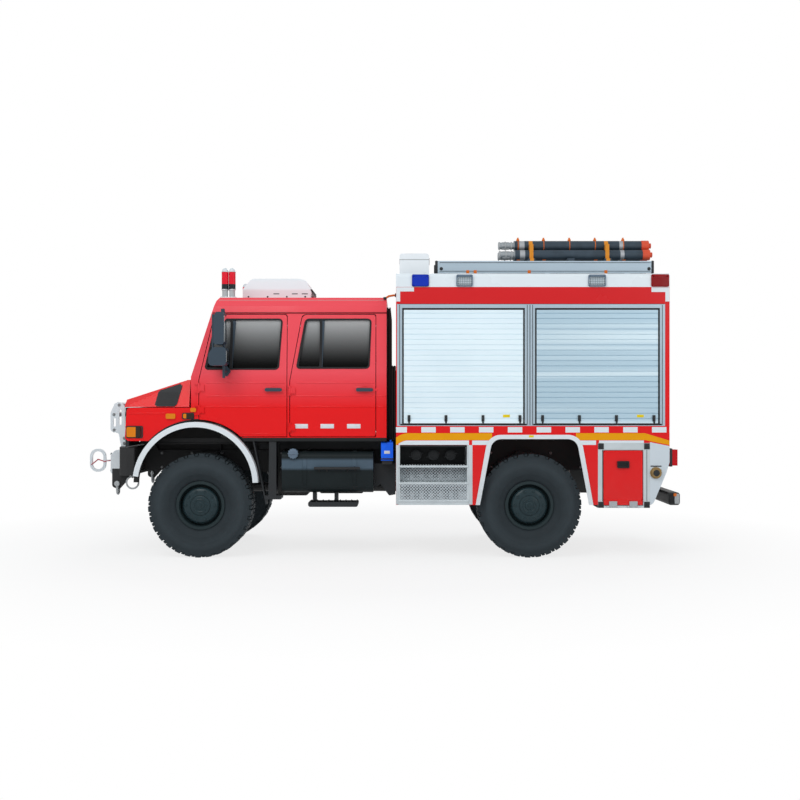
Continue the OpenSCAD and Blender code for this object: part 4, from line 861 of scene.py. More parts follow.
# Fuel tank, steps and canister.
# A black rolled-steel tank hangs in two straps, with a grip rail and a ribbed filler cap. The steps have
# raised grip bars, sills run under the cab, and a blue plastic canister stands behind it.
feed, place, (x, y, z) = start_finish("tank_black")
# Painted sky reflection: a pale blue band along the upper outer face of the tank.
painted_sky_band = ((z - 0.985) * 30.0 | 0.0) & ((1.13 - z) * 30.0 | 0.0) & 1.0
outer = abs(y) > 0.98
scuff = grain(place, 5.0, 6.0)
tank_paint = mix(scuff, (0.006, 0.01, 0.011), (0.014, 0.02, 0.022))
tank_black = feed(Base_Color=mix(painted_sky_band * outer * 0.8, tank_paint, (0.09, 0.135, 0.18)),
                  Roughness=0.4 + scuff * 0.2, Normal=bumps(grain(place, 120.0), 0.06, 0.002),
                  Specular_IOR_Level=0.12)
coat_nodes(tank_black, "side_tanks")
tank_gear, straps = bmesh.new(), bmesh.new()
for side in (-1, 1):
    for x in (-0.8, -0.23):
        slab(straps, (x, 1.046, 0.82), (x + 0.05, 1.056, 1.13), side)
        slab(straps, (x, 0.62, 1.198), (x + 0.05, 0.98, 1.206), side)
        hoop(straps, (x + 0.025, side * 1.056, 1.02), (0, 1, 0), 0.018, 0.005, 18, 6)
    rod(tank_gear, (-0.665, side * 1.082, 1.012), (-0.14, side * 1.082, 1.012), 0.016, 14, None, 0.004)
    for x in (-0.61, -0.52, -0.285, -0.195):
        rod(tank_gear, (x, side * 1.04, 0.975), (x, side * 1.082, 1.012), 0.01, 10)
    for x in [-0.715 + 0.066 * i for i in range(9)]:
        slab(tank_gear, (x, 0.815, 0.6245), (x + 0.012, 1.06, 0.634), side)
    for i in range(5):
        slab(tank_gear, (-1.215 + i * 0.033, 0.865, 0.6995), (-1.203 + i * 0.033, 1.05, 0.708), side)
piece("tank_rail_and_grips", tank_gear, black_steel)
piece("tank_straps", straps, tank_black)
sills = bmesh.new()
for side in (-1, 1):
    for low, high in (((-2.7, 0.86, 1.284), (-1.08, 0.868, 1.352)), ((-2.7, 0.864, 1.284), (-1.08, 0.9, 1.292)),
                      ((0.09, 0.77, 1.215), (0.27, 0.778, 1.33)), ((0.172, 0.77, 1.325), (0.27, 0.778, 1.4))):
        slab(sills, low, high, side, 0.002)
    bolts(sills, [(-2.6 + 0.25 * i, side * 0.868, 1.318) for i in range(7)], (0, side, 0), 0.009, 0.007)
piece("floor_sills_and_shields", sills, black_steel)
cap_grey = moulding("filler_cap_grey", (0.11, 0.16, 0.22), (0.15, 0.2, 0.26), 0.35)
filler = bmesh.new()
rod(filler, (-0.906, -1.06, 1.18), (-0.906, -1.088, 1.18), 0.058, 32, 0.055, 0.006)
for turn in turns(12):
    rod(filler, *[around(-0.906, y, 1.18, 0.056, turn) for y in (-1.063, -1.084)], 0.006, 8)
block(filler, (-0.95, -1.098, 1.171), (-0.862, -1.086, 1.189))
piece("filler_cap", filler, cap_grey)
blue_plastic = moulding("blue_plastic", (0.0, 0.14, 1.0), (0.0, 0.12, 0.92), 0.3)
coat_nodes(blue_plastic, "blue_canister")
canister_gear = bmesh.new()
for x0 in (0.094, 0.228):
    slab(canister_gear, (x0, 0.8, 1.112), (x0 + 0.012, 1.056, 1.126), -1)
slab(canister_gear, (0.094, 1.0495, 1.112), (0.24, 1.058, 1.126), -1)
rod(canister_gear, (0.168, -0.915, 1.308), (0.168, -0.915, 1.318), 0.032, 24, 0.029, 0.003)
piece("canister_strap_and_cap", canister_gear, black_steel)
shoulder = bmesh.new()
slab(shoulder, (0.106, 0.8, 1.29), (0.23, 1.03, 1.306), -1, 0.006)
for x in (0.116, 0.196):
    slab(shoulder, (x, 0.82, 1.3), (x + 0.024, 1.016, 1.334), -1, 0.006)
piece("canister_shoulder_and_grips", shoulder, blue_plastic)
blank_label = bmesh.new()
slab(blank_label, (0.136, 1.0495, 1.178), (0.2, 1.0525, 1.212), -1, 0.001)
piece("canister_blank_label", blank_label, reflector_white)

# Equipment body: shell and skirts.
# Folded aluminium panels in the same red, with foil markings: a red and white chequer along the sill, a
# yellow line with a white one below it, and a white rear corner.


def marked_red(name, marks):
    """Fire red with flat foil markings and a painted sky reflection that dulls the red high up; marks gives
    (mask, tint) pairs from the place on the truck.
    """
    feed, (x, y, z), peel, cloud, film, paint = paint_layers(name, (0.78, 0.008, 0.01), (0.7, 0.005, 0.008), 0.1)
    # Painted sky reflection: above z = 2.2 the red turns duller.
    paint = mix(((z - 2.2) * 1.6).clipped() * 0.7, paint, (0.62, 0.016, 0.02))
    foil = None
    for mask, tint in marks(x, abs(y), y, z):
        paint = mix(mask, paint, tint)
        foil = mask if foil is None else foil | mask
    paint = mix(film, paint, (0.3, 0.27, 0.24))
    return feed(Base_Color=paint, Roughness=0.22 + cloud * 0.08 + foil * 0.12,
                Normal=bumps(peel + foil * 6.0, 0.03, 0.001), Specular_IOR_Level=0.15,
                Coat_Weight=0.11 - foil * 0.1, Coat_Roughness=0.06)


body_skin = 1.2235
foil_white, foil_yellow = (0.74, 0.81, 0.85), (0.82, 0.35, 0.001)


def sill_marks(x, far, y, z):
    strip = z.within(1.426, 1.488)
    flank = (far > body_skin) & strip & ((((x - 0.231) * 3.0713) % 1.0) < 0.5)
    back = (x > 3.3585) & strip & ((((y + 1.225) * 3.2653) % 1.0) < 0.5)
    return [(flank | back, foil_white)]


def skirt_marks(x, far, y, z):
    on = far > body_skin
    bend = ((0.41 - x) * 7.1).clipped()
    sag = bend * bend
    level = (z < 1.418 - sag * 0.05) & (z > 1.341 - sag * 0.06)
    fall = x - 3.082
    tail = (x > 3.082) & (z < 1.418 - fall * 0.3) & (z > 1.341 - fall * 0.2)
    yellow = (level & (x.within(0.271, 1.355) | x.within(2.303, 3.083))) | tail
    white = (z > 1.286) & (z < 1.336 - sag * 0.06) & (x.within(0.3, 1.095) | x.within(1.131, 1.372)
                                                       | x.within(2.35, 2.529) | x.within(2.563, 3.07))
    # The white rear corner is a shade darker and bluer than the foil white: painted shade.
    rear = (x > 3.139) & (z < 1.329 - fall * 0.2)
    return [(on & white, foil_white), (on & yellow, foil_yellow), (rear, (0.62, 0.69, 0.74))]


coat_nodes(marked_red("shell_red", sill_marks), "body_shell")
coat_nodes(marked_red("skirt_red", skirt_marks), "side_skirts")


def plate(shape, outline, y0, y1, edge=0.0015):
    """A flat panel drawn in side view between two planes across the truck."""
    face = shape.faces.new([shape.verts.new((x, y0, z)) for x, z in outline])
    tops = thicken(shape, [face], (0, y1 - y0, 0))
    rim = {e for v in tops for e in v.link_edges if e.other_vert(v) in tops}
    soften(shape, rim, edge, 1)


corner_caps = bmesh.new()
front_cap = (0.273, 3.066), (0.273, 2.905), (0.318, 2.905), (0.318, 3.018), (0.474, 3.018), (0.474, 3.066)
rear_cap = (3.358, 3.066), (3.155, 3.066), (3.155, 3.012), (3.312, 3.012), (3.312, 2.905), (3.358, 2.905)
for side in (-1, 1):
    for outline in (front_cap, rear_cap):
        plate(corner_caps, outline, side * 1.2245, side * 1.229)
piece("body_corner_caps", corner_caps, white_enamel)

# Hose coupling on the rear corner.
# A cast brass coupling with two lugs and an open bore stands on a flange behind the locker.
feed, place, _ = start_finish("aged_brass")
tarnish = grain(place, 22.0, 6.0)
brass = feed(Base_Color=mix(tarnish, (0.36, 0.24, 0.09), (0.13, 0.085, 0.045)), Metallic=0.8,
             Roughness=0.35 + tarnish * 0.25)
coupling, bores = bmesh.new(), bmesh.new()
for side in (-1, 1):
    peg(coupling, 3.205, 0.97, side, 1.223, 1.234, 0.066, 32, None, 0.003)
    peg(coupling, 3.205, 0.97, side, 1.233, 1.262, 0.05, 28, 0.048, 0.004)
    hoop(coupling, (3.205, side * 1.258, 0.97), (0, 1, 0), 0.048, 0.007, 32, 8)
    peg(bores, 3.205, 0.97, side, 1.26, 1.2635, 0.038, 28, 0.036, 0.001)
    slab(bores, (3.145, body_skin, 1.04), (3.268, 1.23, 1.052), side)
    for turn in (0.6, 0.6 + math.pi):
        rod(coupling, *[around(3.205, side * 1.252, 0.97, r, turn) for r in (0.04, 0.066)], 0.01, 10, 0.008,
            0.002)
piece("hose_couplings", coupling, brass)
piece("coupling_bores", bores, black_plastic)

# Roller shutters and their frames.
# Extruded aluminium slats between grooved guide posts, brushed along the slats. Rubber seals line the
# guides. Each side shutter has a rubber foot, four black latches and a plain yellow tab.


def stretched(place, scale):
    return place.node("ShaderNodeMapping", None, {"Vector": place, "Scale": scale})


def brushed(name, tint, shade, along, metal=0.5, rear=None):
    feed, place, (x, y, z) = start_finish(name)
    lines = grain(stretched(place, along), 6.0, 5.0, 0.7)
    cloud = grain(place, 1.1, 3.0)
    brushed_colour = mix((cloud * 0.7 + lines * 0.5) & 1.0, tint, shade)
    # Painted light on the shutters: the rear shutter, past x = 1.78, is painted in a darker shade, and broad
    # pale bands across the slats are painted sky reflections.
    if rear:
        painted_sky_bands = grain(stretched(place, (0.015, 0.0, 1.0)), 8.0, 1.0, 0.5)
        brushed_colour = mix((x > 1.78) * 0.8, brushed_colour, rear)
        brushed_colour = mix(((painted_sky_bands - 0.46) * 5.0).clipped() * 0.4, brushed_colour, (0.86, 0.97, 1.0))
    return feed(Base_Color=brushed_colour, Roughness=0.34 + lines * 0.16, Metallic=metal,
                Normal=bumps(lines, 0.06, 0.001))


# The last tint is the painted shade of the rear shutter.
slat_metal = brushed("slat_aluminium", (0.84, 0.95, 1.0), (0.64, 0.78, 0.86), (0.25, 1.0, 26.0), 0.5,
                     (0.34, 0.49, 0.59))
post_metal = brushed("post_aluminium", (0.46, 0.56, 0.63), (0.33, 0.42, 0.49), (30.0, 30.0, 0.6))
coat_nodes(slat_metal, "shutters")
coat_nodes(post_metal, "body_posts")
guides, latches, tabs = bmesh.new(), bmesh.new(), bmesh.new()
for side in (-1, 1):
    for x0, x1 in ((0.339, 1.727), (1.84, 3.252)):
        for x in (x0 + 0.002, x1 - 0.02):
            slab(guides, (x, 1.2125, 1.524), (x + 0.018, 1.2195, 2.83), side)
        slab(guides, (x0 + 0.002, 1.2125, 2.812), (x1 - 0.002, 1.2205, 2.831), side)
        slab(guides, (x0 + 0.004, 1.212, 1.5225), (x1 - 0.004, 1.2245, 1.5295), side, 0.002)
        slab(guides, (x0 - 0.02, body_skin, 1.507), (x1 + 0.02, 1.2268, 1.525), side, 0.001)
        for x in (x0 - 0.03, x1 + 0.022):
            slab(guides, (x, body_skin, 1.51), (x + 0.007, 1.2262, 2.868), side, 0.001)
    slab(guides, (1.7795, body_skin, 1.51), (1.7875, 1.2262, 2.868), side, 0.001)
    slab(guides, (0.29, body_skin, 2.8745), (3.301, 1.2262, 2.8795), side, 0.001)
    for x in (0.418, 0.835, 1.253, 1.671, 1.926, 2.343, 2.76, 3.184):
        slab(latches, (x - 0.016, 1.212, 1.548), (x + 0.016, 1.236, 1.622), side, 0.005)
        slab(latches, (x - 0.008, 1.234, 1.56), (x + 0.008, 1.244, 1.6), side)
        peg(latches, x, 1.541, side, 1.215, 1.243, 0.011, 14, None, 0.002)
    for x in (1.479, 2.992):
        slab(tabs, (x, 1.2125, 1.596), (x + 0.079, 1.2175, 1.628), side, 0.0015)
    slab(tabs, (1.77, 1.2355, 1.371), (1.824, 1.239, 1.395), side, 0.0012)
for y in (-0.72, -0.24, 0.24, 0.72):
    block(latches, (3.345, y - 0.016, 1.548), (3.372, y + 0.016, 1.622), 0.005)
for y in (-0.948, 0.93):
    block(guides, (3.343, y, 1.503), (3.353, y + 0.018, 2.83), 0.003)
rod(guides, (3.368, -0.7, 1.53), (3.368, 0.7, 1.53), 0.01, 12, None, 0.003)
piece("shutter_seals_and_grooves", guides, profile_rubber)
piece("shutter_latches", latches, black_plastic)
yellow_tab = enamel("yellow_tab", (0.8, 0.62, 0.01), (0.74, 0.55, 0.01), 0.35)
piece("shutter_tabs", tabs, yellow_tab)

# Stair units, lockers and flaps.
# Folded aluminium with expanded metal on the step faces. Dark pump outlets stand in the recess over the
# steps; the locker frame has black corner blocks, and the red flap a black cup handle.
feed, place, (x, y, z) = start_finish("unit_aluminium")
rub = grain(place, 5.0, 6.0)
studs = sine((x + z) * 300.0) * sine((x - z) * 300.0)
treads = (x < 1.09) & (z < 1.06)
depth = abs(y)
hidden = (depth < 0.8615) | ((depth < 1.215) & (x.within(1.089, 1.1) | x.within(2.545, 2.5555)))
# Painted shade: the step risers behind the lattice are darkened, their upper halves more, as painted shadow
# under the treads.
painted_recess_shade = x.within(0.318, 1.071) & (z.within(0.668, 0.838) | (z.within(0.866, 1.034) & (depth < 1.112)))
painted_shadow_under_treads = painted_recess_shade & (z.within(0.75, 0.838) | (z > 0.945))
metal_with_painted_shade = mix(painted_recess_shade * 0.45 + painted_shadow_under_treads * 0.4, mix(rub, (0.6, 0.66, 0.69), (0.42, 0.47, 0.49)),
           (0.03, 0.036, 0.038))
unit_metal = feed(Base_Color=mix(hidden, metal_with_painted_shade, underseal_and_painted_shade), Metallic=0.45 - hidden * 0.45,
                  Roughness=0.36 + rub * 0.2, Normal=bumps(studs * treads + rub * 0.3, 0.4, 0.002))
coat_nodes(unit_metal, "side_lockers")
recess = bmesh.new()
for side in (-1, 1):
    slab(recess, (0.318, 0.88, 1.052), (1.07, 0.888, 1.282), side, 0.002)
    slab(recess, (0.318, 0.885, 1.0515), (1.07, 1.205, 1.056), side, 0.001)
    slab(recess, (0.318, 0.885, 1.262), (1.07, 1.2, 1.282), side, 0.004)
    for x in (0.5, 0.7, 0.9):
        peg(recess, x, 1.16, side, 0.886, 1.01, 0.058, 24, 0.052, 0.006)
        hoop(recess, (x, side * 1.005, 1.16), (0, 1, 0), 0.056, 0.01, 28, 8)
        for turn in (0.3, 0.3 + math.pi):
            rod(recess, *[around(x, side * 1.005, 1.16, r, turn) for r in (0.05, 0.082)], 0.011, 10, 0.009)
piece("pump_outlets", recess, black_plastic)
grating, strands = bmesh.new(), bmesh.new()


def lattice(shape, x0, x1, z0, z1, y, side, pitch):
    """Expanded metal on an upright face: two sets of slanted strands between the edges."""
    high = z1 - z0
    for lean in (-1, 1):
        for i in range(-int(high / pitch) - 1, int((x1 - x0) / pitch) + int(high / pitch) + 2):
            foot = x0 + i * pitch
            ends = [(foot + lean * t * high, z0 + t * high) for t in (0.0, 1.0)]
            spans = sorted(((x0 - ends[0][0]) / (ends[1][0] - ends[0][0]),
                            (x1 - ends[0][0]) / (ends[1][0] - ends[0][0])))
            first, last = max(0.0, spans[0]), min(1.0, spans[1])
            if last - first > 0.05:
                start, end = [(foot + lean * t * high, side * y, z0 + t * high) for t in (first, last)]
                rod(shape, start, end, 0.0042, 6)


for side in (-1, 1):
    lattice(strands, 0.322, 1.068, 0.668, 0.838, 1.2265, side, 0.034)
    lattice(strands, 0.322, 1.068, 0.874, 1.03, 1.1075, side, 0.034)
    for z, deep in ((1.0545, 1.11), (0.864, 1.107)):
        for i in range(24):
            x = 0.33 + i * 0.0306
            slab(grating, (x, deep, z), (x + 0.012, deep + 0.1, z + 0.006), side, 0.002)
    for z in (1.03, 0.84, 0.64):
        slab(grating, (0.3, body_skin, z), (1.092, 1.2295, z + 0.024), side)
    for x0, x1 in ((0.272, 0.301), (1.0935, 1.134)):
        slab(grating, (x0, body_skin, 0.612), (x1, 1.2285, 1.284), side, 0.0015)
piece("step_gratings", grating, unit_metal)
strand_metal = satin_steel("strand_metal", (0.6, 0.66, 0.7), (0.46, 0.51, 0.54))
piece("step_lattice", strands, strand_metal)
blocks = bmesh.new()
for side in (-1, 1):
    for x0, z0 in ((2.553, 1.236), (3.072, 1.236), (2.553, 0.576), (3.072, 0.576)):
        slab(blocks, (x0, body_skin, z0), (x0 + 0.064, 1.231, z0 + 0.068), side)
        bolts(blocks, [(x0 + 0.032, side * 1.231, z0 + 0.034)], (0, side, 0), 0.009, 0.008)
    for x in (2.6, 3.1):
        slab(blocks, (x, body_skin, 0.65), (x + 0.006, 1.2265, 1.23), side, 0.001)
piece("locker_corner_blocks", blocks, black_plastic)


def flap_marks(x, far, y, z):
    return [((far > 1.2263) & (z > 0.9), (0.012, 0.013, 0.015)),
            ((far > 1.2263) & (z < 0.66), (0.42, 0.44, 0.46))]


flap_red = marked_red("flap_red", flap_marks)
coat_nodes(flap_red, "flap_left", "flap_right")
for hand, side in hands.items():
    rim = bmesh.new()
    for x0, x1, z0, z1 in ((2.622, 2.632, 0.66, 1.214), (3.037, 3.047, 0.66, 1.214),
                           (2.622, 3.047, 1.204, 1.214), (2.622, 3.047, 0.66, 0.67)):
        slab(rim, (x0, body_skin, z0), (x1, 1.2275, z1), side, 0.0015)
    piece("flap_beads_" + hand, rim, fire_red, "flap_" + hand)

# Body roof, ladder and stowage box.
# White rounded rails run round a deck of grey tread plate. The aluminium ladder lies on posts, with
# orange spring clips and black end caps, and a white plastic box stands in front.
feed, place, (x, y, z) = start_finish("roof_white_and_tread")
deck = (abs(y) < 1.15) & (z < 3.1105) & x.within(0.312, 3.319)
tread = abs(sine((x + y) * 110.0) * sine((x - y) * 110.0))
cloud = grain(place, 1.3, 4.0)
rail_paint = mix(cloud * 0.5, (0.77, 0.84, 0.88), (0.7, 0.78, 0.83))
roof_white = feed(Base_Color=mix(deck, rail_paint, (0.4, 0.42, 0.43)),
                  Roughness=0.24 + cloud * 0.08 + deck * 0.2, Metallic=deck * 0.5,
                  Normal=bumps(deck * tread, 0.6, 0.003), Coat_Weight=0.5 - deck * 0.5)
coat_nodes(roof_white, "body_roof")
box_white = moulding("box_white", (0.84, 0.88, 0.91), (0.78, 0.83, 0.86), 0.3)
coat_nodes(box_white, "roof_units")
ladder_metal = brushed("ladder_aluminium", (0.45, 0.55, 0.63), (0.34, 0.43, 0.5), (0.4, 30.0, 30.0))
coat_nodes(ladder_metal, "roof_ladder")
orange_clip = moulding("orange_clip", (0.72, 0.16, 0.01), (0.62, 0.12, 0.01), 0.35)
clips, ends = bmesh.new(), bmesh.new()
for y in (-1.01, -0.6):
    for x in (1.094, 1.18, 1.8, 2.68):
        block(clips, (x - 0.018, y - 0.006, 3.242), (x + 0.018, y + 0.038, 3.284), 0.005)
    for x in (0.741, 3.223):
        block(ends, (x - 0.022, y - 0.004, 3.248), (x + 0.01, y + 0.036, 3.394), 0.008)
    for x in (0.79, 3.175):
        rod(ends, (x, y - 0.004, 3.3), (x, y + 0.036, 3.3), 0.02, 18, None, 0.003)
    for z in (3.272, 3.37):
        block(ends, (0.77, y - 0.0025, z - 0.003), (3.195, y + 0.0345, z + 0.003), 0.001)
piece("ladder_clips", clips, orange_clip)
piece("ladder_caps_and_grooves", ends, black_plastic)
box_gear = bmesh.new()
block(box_gear, (0.309, -1.052, 3.395), (0.65, -0.618, 3.405), 0.003)
for y in (-0.95, -0.72):
    block(box_gear, (0.644, y - 0.02, 3.35), (0.656, y + 0.02, 3.43))
piece("box_lid_line", box_gear, galvanised)

# Tool tubes on the ladder.
# Black tubes with bright unions at the front, orange-red caps at the back, two woven tie straps and red
# quick clips above and below.
feed, place, (x, y, z) = start_finish("tube_black")
worn = grain(place, 8.0, 6.0)
caps = x > 3.118
unions = x < 1.6445
straps = x.within(1.8095, 1.8545) | x.within(2.6845, 2.7295)
bands = x.within(1.7, 1.76) | x.within(2.86, 2.905)
tint = mix(worn * 0.8, (0.012, 0.022, 0.032), (0.06, 0.092, 0.125))
tint = mix(bands, tint, (0.36, 0.38, 0.4))
tint = mix(caps, tint, (0.7, 0.085, 0.035))
tint = mix(unions, tint, (0.3, 0.33, 0.35))
tint = mix(straps, tint, (0.72, 0.27, 0.02))
tube_black = feed(Base_Color=tint, Roughness=0.36 + worn * 0.2 + straps * 0.2, Metallic=(unions | bands) * 0.6,
                  Normal=bumps(worn, 0.1, 0.002), Specular_IOR_Level=0.3)
coat_nodes(tube_black, "roof_tubes")
clips = bmesh.new()
for x in (1.687, 1.985, 2.285, 2.582, 2.909):
    for y, z in ((-0.9, 3.413), (-0.76, 3.413)):
        block(clips, (x - 0.02, y - 0.016, z - 0.006), (x + 0.02, y + 0.016, z + 0.01))
    block(clips, (x - 0.017, -0.846, 3.64), (x + 0.017, -0.814, 3.664), 0.005)
    block(clips, (x - 0.01, -0.842, 3.658), (x + 0.01, -0.818, 3.682), 0.005)
    hoop(clips, (x, -0.83, 3.5865), (1, 0, 0), 0.0595, 0.005, 28, 6)
piece("tube_clips", clips, orange_clip)
rings = bmesh.new()
for y, z in ((-0.9, 3.4723), (-0.76, 3.4723), (-0.83, 3.5863)):
    for x, r in ((1.47, 0.041), (1.54, 0.044), (1.61, 0.041)):
        hoop(rings, (x, y, z), (1, 0, 0), r, 0.008, 28, 8)
    for turn in turns(6):
        across, up = 0.041 * math.cos(turn), 0.041 * math.sin(turn)
        rod(rings, (1.5, y + across, z + up), (1.585, y + across, z + up), 0.006, 8)
piece("tube_unions", rings, galvanised)

# Conduit between the cab roof and the body.
# A short orange pipe leaves a black gland at the back edge of the cab roof and enters the body's front.
conduit, glands = bmesh.new(), bmesh.new()
for start, end in (((0.146, -0.95, 2.966), (0.19, -0.95, 2.992)),
                   ((0.187, -0.95, 2.991), (0.234, -0.95, 2.999)),
                   ((0.231, -0.95, 2.999), (0.276, -0.95, 3.001))):
    rod(conduit, start, end, 0.012, 14)
piece("roof_conduit", conduit, orange_clip)
block(glands, (0.124, -0.974, 2.952), (0.158, -0.926, 2.98), 0.006)
rod(glands, (0.258, -0.95, 3.001), (0.274, -0.95, 3.001), 0.022, 18, None, 0.003)
piece("conduit_glands", glands, black_plastic)

# Air conditioner on the cab roof.
# A white vacuum-formed hood on a grey gasket, with louvres at the back and four screws along each side.
hood_gear, louvres = bmesh.new(), bmesh.new()
block(hood_gear, (-1.576, -0.458, 2.973), (-0.754, 0.458, 2.99), 0.006)
piece("hood_gasket", hood_gear, galvanised)
for i in range(6):
    z = 3.02 + i * 0.02
    block(louvres, (-0.77 + 0.001 * i, -0.36, z), (-0.744, 0.36, z + 0.009), 0.003)
for side in (-1, 1):
    bolts(louvres, [(x, side * 0.449, 3.03) for x in (-1.5, -1.27, -1.04, -0.82)], (0, side, 0), 0.008, 0.008)
    for x in (-1.2, -0.98, -0.86):
        slab(louvres, (x, 0.4485, 3.06), (x + 0.07, 0.4525, 3.07), side, 0.001)
piece("hood_louvres", louvres, black_plastic)

# Lamps.
# Ribbed lenses in black or bright rims: paired red beacons on bright feet with clear crowns, work lamps
# with rows of small lights and blue and red lamps on the rails, amber turn lamps on the nose.


def lens(name, tint, glow, paint=None):
    feed, place, (x, y, z) = start_finish(name)
    ribs = sine(x * 700.0) + sine(z * 500.0)
    cloud = grain(place, 8.0)
    colour = mix(cloud * 0.5, tint, glow)
    rough = 0.12 + cloud * 0.06
    for mask, tint in (paint(x, z) if paint else []):
        colour = mix(mask, colour, tint)
    return feed(Base_Color=colour, Roughness=rough, Normal=bumps(ribs, 0.1, 0.001), Specular_IOR_Level=0.12,
                Coat_Weight=0.12)


def beacon_bands(x, z):
    roof = x < -1.5
    return [(roof & (z < 3.07), (0.45, 0.47, 0.48)), (roof & z.within(3.07, 3.136), (0.015, 0.022, 0.026)),
            (roof & (z > 3.279), (0.66, 0.72, 0.75)), ((x > 3.0) & (z > 3.0), (0.24, 0.001, 0.004)),
            ((x > 3.0) & (z < 2.0), (0.52, 0.001, 0.006))]


def light_rows(x, z):
    dots = sine((x - 0.02) * 157.0) * sine((z - 3.084) * 131.0)
    return [((z > 3.0) & (abs(dots) > 0.42), (0.5, 0.57, 0.61))]


def lamp_halves(x, z):
    smoke = (0.03, 0.02, 0.012)
    return [(x.within(-2.699, -2.6), smoke), (x.within(-2.122, -2.04) & (z < 1.65), smoke)]


coat_nodes(lens("red_lens", (0.74, 0.006, 0.022), (0.82, 0.02, 0.045), beacon_bands), "red_lamps")
tail_red = lens("tail_red", (0.28, 0.001, 0.004), (0.34, 0.002, 0.006))
coat_nodes(lens("amber_lens", (0.72, 0.2, 0.004), (0.78, 0.27, 0.008), lamp_halves), "amber_lamps")
blue_lens = lens("blue_lens", (0.003, 0.028, 0.42), (0.006, 0.042, 0.52))
coat_nodes(blue_lens, "blue_lamps")
coat_nodes(lens("clear_lens", (0.2, 0.25, 0.28), (0.28, 0.33, 0.36), light_rows), "clear_lamps")


def bezel(shape, x0, x1, z0, z1, y, side, width, proud):
    """A rounded frame round a lamp."""
    rounded_frame(shape, ((x0, z0), (x1, z0), (x1, z1), (x0, z1)), 0.016, width, proud, side, lambda z: y)


rims, chrome_rims, tail_rims, blue_rims = bmesh.new(), bmesh.new(), bmesh.new(), bmesh.new()
for side in (-1, 1):
    bezel(blue_rims, 0.453, 0.64, 3.076, 3.208, 1.2245, side, 0.026, 0.02)
    bezel(rims, 0.45, 0.643, 3.073, 3.211, 1.2245, side, 0.006, 0.008)
    bezel(tail_rims, 3.151, 3.352, 3.072, 3.212, 1.2245, side, 0.03, 0.016)
    for x0, x1 in ((0.96, 1.129), (2.45, 2.63)):
        bezel(chrome_rims, x0 - 0.008, x1 + 0.008, 3.074, 3.208, 1.2245, side, 0.024, 0.022)
        bezel(rims, x0 + 0.008, x1 - 0.008, 3.092, 3.172, 1.2465, side, 0.004, 0.002)
    bezel(rims, -2.812, -2.62, 1.358, 1.497, 1.0745, side, 0.016, 0.012)
    bezel(rims, -2.172, -2.036, 1.573, 1.647, 1.0745, side, 0.014, 0.016)
    slab(rims, (3.3605, 1.098, 1.04), (3.392, 1.229, 1.246), side, 0.006)
piece("lamp_rims_black", rims, black_plastic)
piece("lamp_rims_bright", chrome_rims, cap_grey)
piece("lamp_rims_red", tail_rims, tail_red)
piece("lamp_rims_blue", blue_rims, blue_lens)
beacon_gear = bmesh.new()
for side in (-1, 1):
    for x in (-1.714, -1.632):
        hoop(beacon_gear, (x, side * 0.87, 3.072), (0, 0, 1), 0.036, 0.007, 28, 8)
        hoop(beacon_gear, (x, side * 0.87, 3.279), (0, 0, 1), 0.0405, 0.0035, 28, 6)
    block(beacon_gear, (-1.765, side * 0.87 - 0.05, 2.974), (-1.581, side * 0.87 + 0.05, 2.986))
    bolts(beacon_gear, [(x, side * 0.87 + y, 2.986) for x in (-1.752, -1.594) for y in (-0.038, 0.038)],
          (0, 0, 1), 0.007, 0.008)
piece("beacon_feet", beacon_gear, bright)

# Rear markers on the underrun bar.
# Rubber and steel end caps and plain orange reflectors on the black bar, and the tow jaw's drop pin with its
# lifting ring.
markers, end_caps, end_plates, pin = bmesh.new(), bmesh.new(), bmesh.new(), bmesh.new()
for side in (-1, 1):
    slab(end_plates, (3.458, 1.0495, 0.604), (3.512, 1.059, 0.722), side, 0.006)
    slab(markers, (3.446, 1.0495, 0.69), (3.48, 1.064, 0.726), side, 0.007)
    slab(end_caps, (3.4, 1.0495, 0.615), (3.456, 1.056, 0.71), side)
    block(markers, (3.519, side * 0.9 - 0.06, 0.635), (3.5235, side * 0.9 + 0.06, 0.69), 0.002)
piece("underrun_markers", markers, orange_clip)
piece("underrun_end_caps", end_caps, profile_rubber)
piece("underrun_end_plates", end_plates, galvanised)
rod(pin, (3.42, 0, 0.99), (3.42, 0, 1.165), 0.0195, 20, None, 0.004)
rod(pin, (3.42, 0, 1.141), (3.42, 0, 1.158), 0.034, 20, None, 0.004)
hoop(pin, (3.42, 0, 1.19), (0, 1, 0), 0.026, 0.006, 24, 8)
piece("tow_pin", pin, galvanised)

# Studio: pale floor, soft light and the camera.
# The floor runs into white at a distance and keeps the truck's shadow; three large soft lamps and an
# even sky light the truck.


def seen_directly(tree):
    """One where a ray comes from the camera, a mirror or a pane."""
    rays = tree.nodes.new("ShaderNodeLightPath")
    straight, mirrored, through = [Tone(tree, rays.outputs["Is %s Ray" % kind])
                                   for kind in ("Camera", "Glossy", "Transmission")]
    return straight | mirrored | through


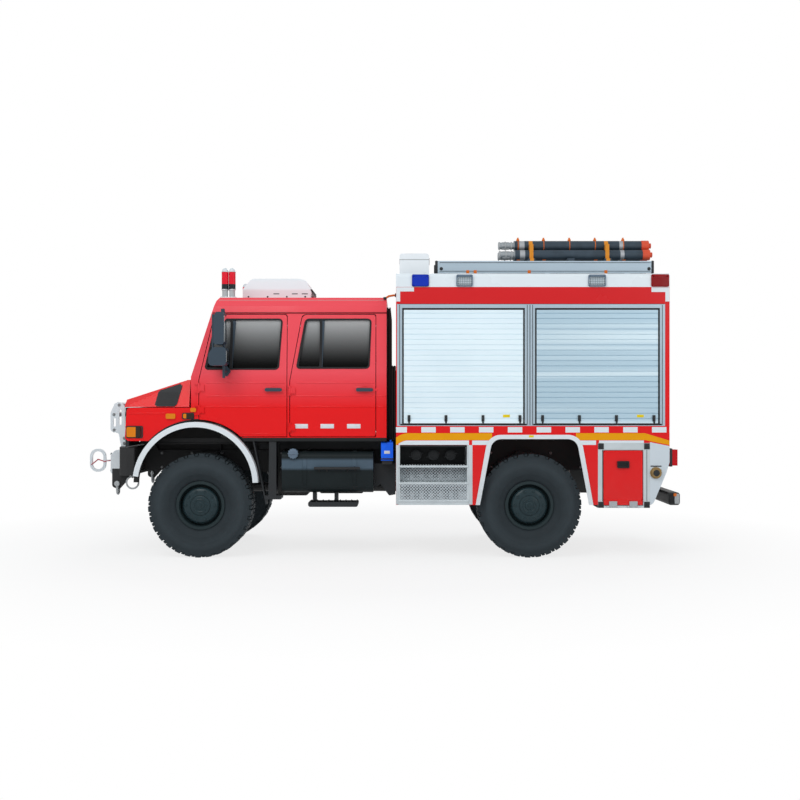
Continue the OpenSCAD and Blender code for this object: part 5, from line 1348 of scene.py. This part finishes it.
floor = bmesh.new()
bmesh.ops.create_grid(floor, x_segments=1, y_segments=1, size=40.0)
studio_floor = placed("studio_floor", meshed("studio_floor", floor))
feed, place, (x, y, z) = start_finish("studio_white")
studio_white = feed(Base_Color=(0.86, 0.86, 0.86), Roughness=0.9)
seen = seen_directly(place.tree)
far = hypotenuse(x, y)
paper = ((far - 3.4) * 0.35).clipped()
glow = place.node("ShaderNodeEmission", None, {"Color": (1, 1, 1, 1), "Strength": 1.0})
matt = Tone(place.tree, place.tree.nodes["Principled BSDF"].outputs[0])
both = place.node("ShaderNodeMixShader", None, {0: seen * (0.78 + paper * 0.22), 1: matt, 2: glow})
place.tree.links.new(both.socket, place.tree.nodes["Material Output"].inputs["Surface"])
studio_floor.data.materials.append(studio_white)

world = bpy.data.worlds.new("studio_sky")
bpy.context.scene.world = world
world.use_nodes = True
sky = world.node_tree
seen = seen_directly(sky)
plain = Tone(sky, sky.nodes["Background"].outputs[0])
sky.nodes["Background"].inputs["Color"].default_value = (0.92, 0.96, 1.0, 1)
sky.nodes["Background"].inputs["Strength"].default_value = 0.56
clean = seen.node("ShaderNodeBackground", None, {"Color": (1, 1, 1, 1), "Strength": 1.0})
pick = seen.node("ShaderNodeMixShader", None, {0: seen, 1: plain, 2: clean})
sky.links.new(pick.socket, sky.nodes["World Output"].inputs["Surface"])

for name, place, aim, power, size in (("key_light", (-4.0, -9.0, 9.0), (0.0, 0.0, 1.4), 480.0, 6.0),
                                      ("fill_light", (7.0, -8.0, 5.0), (0.5, 0.0, 1.4), 120.0, 5.0),
                                      ("back_light", (0.0, 9.0, 9.0), (0.0, 0.0, 1.5), 260.0, 6.0)):
    lamp = bpy.data.lights.new(name, "AREA")
    lamp.energy, lamp.size = power, size
    holder = placed(name, lamp)
    holder.location = place
    holder.rotation_euler = (Vector(aim) - Vector(place)).to_track_quat("-Z", "Y").to_euler()

eye = bpy.data.cameras.new("side_camera")
eye.sensor_width, eye.lens = 36.0, 50.36
side_camera = placed("side_camera", eye)
side_camera.location = (0.316, -13.86, 1.793)
side_camera.rotation_euler = (math.radians(90.0), 0.0, 0.0)
bpy.context.scene.camera = side_camera
bpy.context.scene.view_settings.view_transform = "Standard"
